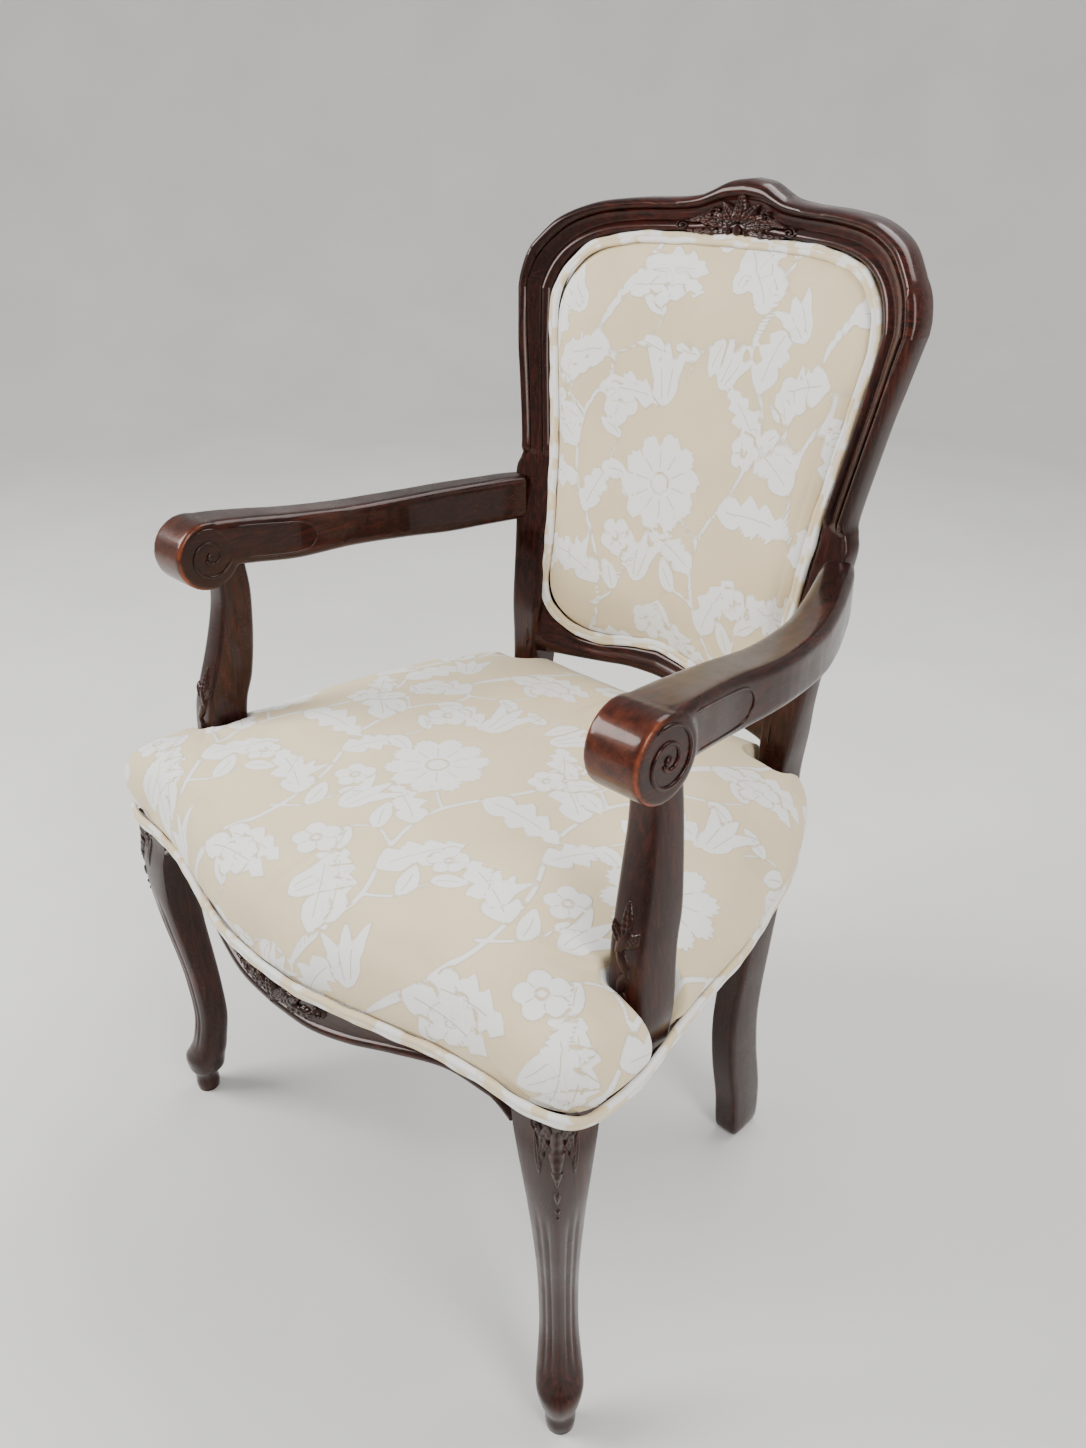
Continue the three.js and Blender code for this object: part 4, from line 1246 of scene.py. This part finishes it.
# ------------------------------------------------------------------ back cover
# Share of the outline and depth behind the back's face, from the crown to the tucked edge.
BACK_ROWS = [
    (0.0, -19), (0.28, -18.5), (0.55, -17), (0.78, -13.5), (0.885, -9), (0.932, -4), (0.950, 0.5),
    (0.956, 4), (0.958, 8),
]
BACK_EDGE_ROW = 4
BACK_STEPS = 2
BACK_CELLS = 40
BACK_CAP = 0.004
BACK_HELD = 2.0


def on_back(plan, depth):
    """Points of the back from their places on its face and their depth behind it."""
    y = back_y(plan[..., 0], plan[..., 1]) + depth
    return np.stack([plan[..., 0], y, plan[..., 1]], -1)


def back_pad(name, rows, edge, behind, material):
    """A pad on the back, with a lower grid at the depth given."""
    top, rings, under, cloth = pad_shape(BACK, BACK_CELLS, rows, edge, on_back)
    pad = pad_mesh(name, top, rings, on_back(under, behind), material)
    store_cloth(pad, cloth + [under.reshape(-1, 2)])
    return pad


def add_back_cover():
    cover = back_pad("back_upholstery", catmull(BACK_ROWS, BACK_STEPS), BACK_STEPS * BACK_EDGE_ROW,
                     BACK_ROWS[-1][1] + 1.5, BACK_CLOTH)
    points = drawing_points(cover)
    depth = points[:, 1] - back_y(points[:, 0], points[:, 2])
    inflate(cover, depth > BACK_HELD, BACK_CAP)
    subdivide(cover)
    lay_cloth(cover, (165, -503))
    own(cover, "back_fabric", "back_cover")


OUTSIDE_ROWS = np.array([(0.0, 27.5), (0.4, 27), (0.75, 25.5), (0.93, 23), (0.975, 21.5), (0.985, 19.5)])
OUTSIDE_EDGE_ROW = 4


def add_outside_back():
    """The plain panel behind, drawn tight over its opening with a little loft in it."""
    panel = back_pad("outside_back_upholstery", OUTSIDE_ROWS, OUTSIDE_EDGE_ROW, 19.0, OUTSIDE_CLOTH)
    subdivide(panel)
    lay_cloth(panel, (60, -440))
    own(panel, "outside_back_fabric", "outside_back_cover")


# ------------------------------------------------------------------ double welts
CORD = 3.1
CORD_POINTS = 11
CORD_ARC = 240.0
CORD_CLOTH = {"start": 40.0, "step": 1.6}


def double_cord():
    """Two cords side by side, as one closed figure of eight drawn from its upper cord."""
    points = []
    for lift, start in ((1, -30), (-1, 150)):
        for i in range(CORD_POINTS):
            angle = math.radians(start + CORD_ARC * i / (CORD_POINTS - 1))
            points.append((CORD * math.cos(angle), lift * CORD * 0.93 + CORD * math.sin(angle)))
    return points


def welt_mesh(name, path, frames, joined, *nodes):
    """A double cord along a path; frames gives each step's two directions across it."""
    section = double_cord()
    along = np.concatenate([[0], np.cumsum(np.linalg.norm(np.diff(path, axis=0), axis=1))])
    rings, u, v = [], [], []
    for k, (point, (across, up)) in enumerate(zip(path, frames)):
        s = along[k]
        wobble = 0.35 * math.sin(s / 9.0) + 0.3 * math.sin(s / 23.0 + 1.0)
        swell = 1 + 0.05 * math.sin(s / 5.3 + 0.7) + 0.04 * math.sin(s / 13.0)
        rings.append([point + across * (a * swell) + up * (b * swell + wobble) for a, b in section])
        u += [s] * len(section)
        v += list(np.arange(len(section)) * CORD_CLOTH["step"] + CORD_CLOTH["start"])
    welt = loft(name, rings, WELT_CLOTH, joined, sharp=0)
    cloth_map(welt, np.array(u), np.array(v))
    own(welt, "welt_fabric", *nodes)


SEAT_WELT = {"out": 2.8, "z": 406.8, "step": 700, "rear": 160.0}


def add_seat_welt():
    outline = mirrored_outline(SEAT_OUTLINE, SEAT_WELT["step"])
    normal = plan_normals(outline, True)
    if np.dot(normal[0], outline[0] - SEAT_CENTRE) < 0:
        normal = -normal
    middle = int(np.argmax(outline[:, 1]))
    outline, normal = np.roll(outline, -middle, axis=0), np.roll(normal, -middle, axis=0)
    keep = outline[:, 1] < SEAT_WELT["rear"]
    outline, normal = outline[keep], normal[keep]
    path, frames = [], []
    for (x, y), n in zip(outline, normal):
        corner = math.exp(-((abs(x) - 322) ** 2 + (y + 264) ** 2) / 900.0)
        path.append((x + n[0] * SEAT_WELT["out"], y + n[1] * SEAT_WELT["out"],
                     SEAT_WELT["z"] - 2.0 * corner))
        frames.append((np.array([n[0], n[1], 0]), np.array([0, 0, 1.0])))
    welt_mesh("seat_double_welt", np.array(path), frames, False, "seat_welt")


def back_welt(name, scale, depth, *nodes):
    outline = mirrored_outline(BACK_OUTLINE, 560)
    path = on_back(BACK_CENTRE + scale * (outline - BACK_CENTRE), depth)
    step = np.roll(path, -1, axis=0) - np.roll(path, 1, axis=0)
    face = np.stack([np.zeros(len(path)), -np.ones(len(path)), BACK_RAKE * np.ones(len(path))], 1)
    side = np.cross(step, face)
    side /= np.linalg.norm(side, axis=1, keepdims=True)
    face /= np.linalg.norm(face, axis=1, keepdims=True)
    welt_mesh(name, path, list(zip(face, side)), True, *nodes)


# ------------------------------------------------------------------ carving
def dome(distance, height, roundness):
    """Relief that rises from a motif's edge to a rounded top."""
    return height * np.sqrt(np.clip(-distance / roundness, 0, 1))


def carved_leaf(u, v, x, y, angle, length, width, height, bend=0.0, lobes=0):
    """A leaf in relief, with a sunk midrib and side veins."""
    body = dome(leaf(u, v, x, y, angle, length, width, bend, lobes, 0.4), height, width * 0.55)
    a, b = own_axes(u, v, x, y, angle)
    b = b - bend * length * np.clip(a / length, 0, 1.2) ** 2
    rib = 0.32 * np.exp(-(b / 1.1) ** 2)
    veins = 0.14 * (0.5 + 0.5 * np.cos((a - 0.8 * np.abs(b)) * 2 * math.pi / (length / 7)))
    return body * (1 - rib - veins)


def carved_curl(u, v, x, y, radius, hand, height):
    """A volute: a ridge that winds in to a round eye."""
    du, dv = (u - x) * hand, v - y
    r, theta = np.hypot(du, dv), np.arctan2(dv, du)
    pitch = radius / 1.7
    ridge = np.abs((r / pitch - theta / (2 * math.pi)) % 1.0 - 0.5) * pitch
    return np.maximum(dome(np.maximum(ridge - 0.36 * pitch, r - radius), height, 0.3 * pitch),
                      dome(r - 0.25 * radius, height * 1.15, 0.25 * radius))


CARVING_STEP = 0.8
BACKING = 3.0


def carved_patch(name, place, half_u, low_v, high_v, relief, sunk, material):
    """A closed patch of carving, its rim and back inside the wood; place(u, v, h) gives points."""
    columns = int(2 * half_u / CARVING_STEP) + 1
    rows = int((high_v - low_v) / CARVING_STEP) + 1
    u, v = np.meshgrid(np.linspace(-half_u, half_u, columns), np.linspace(low_v, high_v, rows))
    height = relief(u, v)
    front = place(u, v, np.where(height > 0.05, height, -sunk))
    back = place(u, v, np.full(u.shape, -sunk - BACKING))
    count = rows * columns
    index = np.arange(count).reshape(rows, columns)
    rim = np.concatenate([index[0, :-1], index[:-1, -1], index[-1, :0:-1], index[:0:-1, 0]])
    faces = grid_faces(rows, columns) + band_faces(rim, count + rim)
    faces += [face[::-1] for face in grid_faces(rows, columns, count)]
    points = np.vstack([front.reshape(-1, 3), back.reshape(-1, 3)])
    own(new_object(name, points, faces, material, 0), "mahogany")


# In each relief, a is the distance from its middle line, so that what uses it comes in pairs.
def crest_relief(u, v):
    """A shell with leaves and small flowers sweeping away on both sides of it."""
    a = np.abs(u)
    return np.maximum.reduce([
        carved_leaf(a, v, 0, -12, 1.57, 36, 8, 6.5),
        carved_leaf(a, v, 3, -12, 1.05, 32, 6.5, 5.5, -0.15),
        carved_leaf(a, v, 5, -13, 0.62, 34, 6.5, 5.0, -0.12, 3),
        carved_leaf(a, v, 8, -15, 0.18, 50, 8, 4.6, 0.12, 4),
        carved_leaf(a, v, 12, -20, -0.06, 52, 5.5, 4.0, 0.10, 4),
        carved_leaf(a, v, 36, 0, -0.25, 26, 5, 3.8, 0.1),
        carved_curl(a, v, 66, -10, 8, 1, 3.6),
        dome(petals(a, v, 32, 2, 8, 5), 4.8, 4),
        dome(np.hypot(a - 11, v + 20) - 4, 4.5, 4),
        dome(np.hypot(a, v + 18) - 6, 6.5, 6),
    ])


def rail_relief(u, v):
    a = np.abs(u)
    return np.maximum.reduce([
        carved_leaf(a, v, 0, -18, 1.57, 34, 9, 6.0),
        carved_leaf(a, v, 3, -14, 0.95, 30, 7, 5.0, -0.1),
        carved_leaf(a, v, 6, -12, 0.42, 42, 8, 4.8, 0.1, 3),
        carved_leaf(a, v, 10, -10, 0.02, 54, 7, 4.2, 0.14, 4),
        carved_curl(a, v, 64, 5, 8, 1, 3.4),
        dome(petals(a, v, 26, -11, 7, 5), 4.5, 4),
        dome(np.hypot(a, v + 16) - 6, 6.0, 6),
    ])


def knee_relief(u, v):
    """A drooping leaf between two scrolls, with drops below it."""
    a = np.abs(u)
    return np.maximum.reduce([
        carved_leaf(a, v, 0, 40, -1.57, 56, 8, 3.4, 0.0, 3),
        carved_leaf(a, v, 5, 42, -1.15, 42, 6.5, 3.0, -0.16, 3),
        carved_leaf(a, v, 22, 26, -1.75, 40, 4.5, 2.6, 0.1),
        carved_curl(a, v, 20, 34, 7.5, 1, 2.8),
        dome(leaf(a, v, 0, -20, -1.57, 14, 3.4), 2.6, 3.4),
        dome(np.hypot(a, v + 42) - 3, 2.4, 3),
        dome(np.hypot(a, v + 51) - 2.3, 2.0, 2.3),
    ])


def support_relief(u, v):
    """Leaf buds one over the other, getting smaller down to a drop above the welt."""
    a = np.abs(u)
    return np.maximum.reduce([
        carved_leaf(a, v, 0, 22, 1.57, 34, 5.5, 3.4),
        carved_leaf(a, v, 1, 18, 1.05, 24, 5.5, 3.2, -0.2),
        dome(leaf(u, v, 5, 34, -2.1, 27, 6), 3.6, 4.5),
        dome(leaf(u, v, -6, 17, -1.1, 27, 6), 3.4, 4.5),
        dome(leaf(u, v, 4, -2, -2.0, 25, 5.5), 3.0, 4),
        dome(leaf(u, v, 0, -20, -1.57, 20, 4), 2.6, 3.4),
    ])


CREST_CARVING = (-27.0, 30.0)
LEG_TABLE = catmull(LEG_ROWS, LEG_STEPS)
SUPPORT_TABLE = catmull(SUPPORT_ROWS, 6)
CREST_OUTER = sorted((row[2], row[3]) for row in CREST_STATIONS)
CREST_INNER_Z = 944.0


def on_crest(u, v, h):
    """The carving fills the crest from its inner edge to just under its outer one."""
    top = np.interp(np.abs(u), [r[0] for r in CREST_OUTER], [r[1] for r in CREST_OUTER]) - 4
    share = (v - CREST_CARVING[0]) / (CREST_CARVING[1] - CREST_CARVING[0])
    z = CREST_INNER_Z + share * (top - CREST_INNER_Z)
    return np.stack([u, back_y(u, z) - 3.0 - h, z], -1)


def on_front_rail(u, v, h):
    xs = [row[0] for row in FRONT_RAIL_HALF][::-1]
    ys = [row[1] for row in FRONT_RAIL_HALF][::-1]
    return np.stack([u, np.interp(np.abs(u), xs, ys) + 1.0 - h, 374 + v], -1)


KNEE = {"z": 350.0, "radius": 31.0, "sunk": 0.4}


def on_knee(side):
    def place(u, v, h):
        z = KNEE["z"] + v
        offset, deep, wide, full = (np.interp(z, LEG_TABLE[:, 0], LEG_TABLE[:, k]) for k in range(1, 5))
        angle = u / KNEE["radius"]
        c, s = np.cos(angle), np.sin(angle)
        reach = leg_reach(c, s, full)
        out = (offset + (deep + h - KNEE["sunk"]) * c * reach) * DIAGONAL
        return mirror_points(on_leg(out, (wide + h - KNEE["sunk"]) * s * reach * DIAGONAL, z), side)
    return place


def on_support(side):
    def place(u, v, h):
        z = 486 + v
        x, y, half_y = (np.interp(z, SUPPORT_TABLE[:, 0], SUPPORT_TABLE[:, k]) for k in (1, 2, 4))
        return mirror_points(np.stack([x + u, y - half_y + 0.3 - h, z], -1), side)
    return place


TUBE_SIDES = 8


def tube(name, path, radius):
    """A round bead of changing radius along a path, rounded off at both ends."""
    path = np.asarray(path, float)
    ahead = np.gradient(path, axis=0)
    ahead /= np.linalg.norm(ahead, axis=1, keepdims=True)
    angles = turn_angles(TUBE_SIDES)
    rings = []
    for k, (point, direction) in enumerate(zip(path, ahead)):
        first = np.cross(direction, (1.0, 0, 0))
        first /= np.linalg.norm(first)
        second = np.cross(direction, first)
        ends = min(1.0, 0.25 + 0.4 * min(k, len(path) - 1 - k))
        circle = np.outer(np.cos(angles), first) + np.outer(np.sin(angles), second)
        rings.append(point + radius * ends * circle)
    own(loft(name, rings, WOOD_ALONG_Y, sharp=0), "mahogany")


VOLUTE = {"start": 0.35 * math.pi, "end": 3.9 * math.pi, "outer": 29.0, "inner": 5.0, "points": 90,
          "bead": 1.7, "line": 1.3}
EYE_PROFILE = [(-2.0, 4.2), (0.6, 4.2), (1.6, 3.4), (2.2, 1.8), (2.4, 0.5)]
EYE_SIDES = 20


def on_scroll(x, radius, angle):
    """A place on the scroll's side, by its polar coordinates round the scroll's centre."""
    y, z = SCROLL["y"] + radius * np.cos(angle), SCROLL["z"] + radius * np.sin(angle)
    return np.column_stack([np.full(len(y), x), y, z])


def add_volutes():
    """The spiral on each side of a scroll, its eye, and the line that runs back from it."""
    turns = np.linspace(VOLUTE["start"], VOLUTE["end"], VOLUTE["points"])
    radius = np.linspace(VOLUTE["outer"], VOLUTE["inner"], VOLUTE["points"])
    for name, side in SIDES.items():
        for face, sign in (("outer", 1), ("inner", -1)):
            x = SCROLL["x"] + sign * (SCROLL["width"] / 2 + 0.1)
            spiral = on_scroll(x, radius, math.pi - turns)
            tube(f"volute_{face}_{name}", mirror_points(spiral, side), VOLUTE["bead"])
            eye = [on_scroll(x + sign * depth, r, turn_angles(EYE_SIDES)) for depth, r in EYE_PROFILE]
            boss = loft(f"volute_eye_{face}_{name}", mirror_points(eye, side), WOOD_ALONG_Y, sharp=0)
            own(boss, "mahogany")
            tube(f"arm_panel_line_{face}_{name}", mirror_points(panel_line(sign), side), VOLUTE["line"])


def panel_line(sign):
    """A round-ended line round a panel on the arm's side."""
    rows = catmull(ARM_ROWS, 5)
    normal = plan_normals(rows[:, :2])
    points = []
    corners = catmull([(-132, 0.34), (-90, 0.33), (-56, 0.30), (-44, 0.10), (-46, -0.14), (-58, -0.30),
                       (-90, -0.34), (-126, -0.34)], 8)
    for y, share in corners:
        x, top, bottom, half = (np.interp(y, rows[:, 1], rows[:, k]) for k in (0, 2, 3, 4))
        nx = np.interp(y, rows[:, 1], normal[:, 0])
        points.append((x + sign * abs(nx) * half, y, (top + bottom) / 2 + share * (top - bottom)))
    return np.array(points)


def add_carving():
    carved_patch("crest_carving", on_crest, 78, *CREST_CARVING, crest_relief, 5, WOOD_ALONG_X)
    carved_patch("front_rail_carving", on_front_rail, 76, -21, 22, rail_relief, 5, WOOD_ALONG_X)
    for name, side in SIDES.items():
        carved_patch(f"knee_carving_{name}", on_knee(side), 32, -56, 48, knee_relief, 3, WOOD_UPRIGHT)
        carved_patch(f"support_carving_{name}", on_support(side), 13, -42, 58, support_relief, 3,
                     WOOD_UPRIGHT)
    add_volutes()


add_carving()
add_back_cover()
add_outside_back()
add_seat_welt()
back_welt("back_double_welt", 0.972, -0.8, "back_welt")
back_welt("outside_back_welt", 0.972, 24.6)

# ------------------------------------------------------------------ what lies inside and under
INNER = {
    "foam": plain_cloth("polyurethane_foam", (0.80, 0.74, 0.50), 0.004),
    "hessian": plain_cloth("hessian_cloth", (0.40, 0.29, 0.16), 0.0022),
    "webbing": plain_cloth("jute_webbing", (0.46, 0.34, 0.19), 0.0016),
    "wood": raw_wood("beech_raw"),
    "steel": zinc_steel("zinc_plated_steel"),
    "rail": WOOD_ALONG_X,
}


def inner_finish(name):
    """The finish of a CAD piece that stays as it is; a screw's name can also hold a block's."""
    for key, finish in (("screw", "steel"), ("foam", "foam"), ("hessian", "hessian"),
                        ("webbing", "webbing"), ("block", "wood"), ("rear_seat_rail", "rail")):
        if key in name:
            return finish
    return None


for node_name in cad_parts:
    kind = inner_finish(node_name)
    if kind:
        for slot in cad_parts[node_name].material_slots:
            slot.material = INNER[kind]

CAMBRIC = plain_cloth("black_cambric", (0.030, 0.030, 0.032), 0.0012)
DUST_SCALE = 0.90
DUST_CELLS = 60
PUCKERS = 56


def add_dust_cover():
    """A thin black cloth tacked under the rails, slack in the middle and puckered at its tacks."""
    runs = outline_sides(SEAT_OUTLINE, SEAT["corners"], DUST_CELLS)
    low, high = (v * 1000 for v in (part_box("dust_cover")[0][2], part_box("dust_cover")[1][2]))
    shape = SEAT_CENTRE + DUST_SCALE * (coons_patch(runs) - SEAT_CENTRE)
    inset = outline_scale(shape, SEAT_OUTLINE, SEAT_CENTRE) / DUST_SCALE
    angle = np.arctan2(shape[..., 1] - SEAT_CENTRE[1], shape[..., 0] - SEAT_CENTRE[0])
    pucker = 1.1 * smoothstep(0.7, 0.97, inset) * np.cos(angle * PUCKERS)
    sag = -5.0 * (1 - inset ** 2)
    top = np.dstack([shape, high + sag + pucker])
    rim = top.reshape(-1, 3)[rim_indices(top.shape[0])]
    sheet = pad_mesh("bottom_cloth", top, [rim - (0, 0, (high - low) / 2)],
                     top - (0, 0, high - low), CAMBRIC)
    own(sheet, "cambric", "dust_cover")


add_dust_cover()
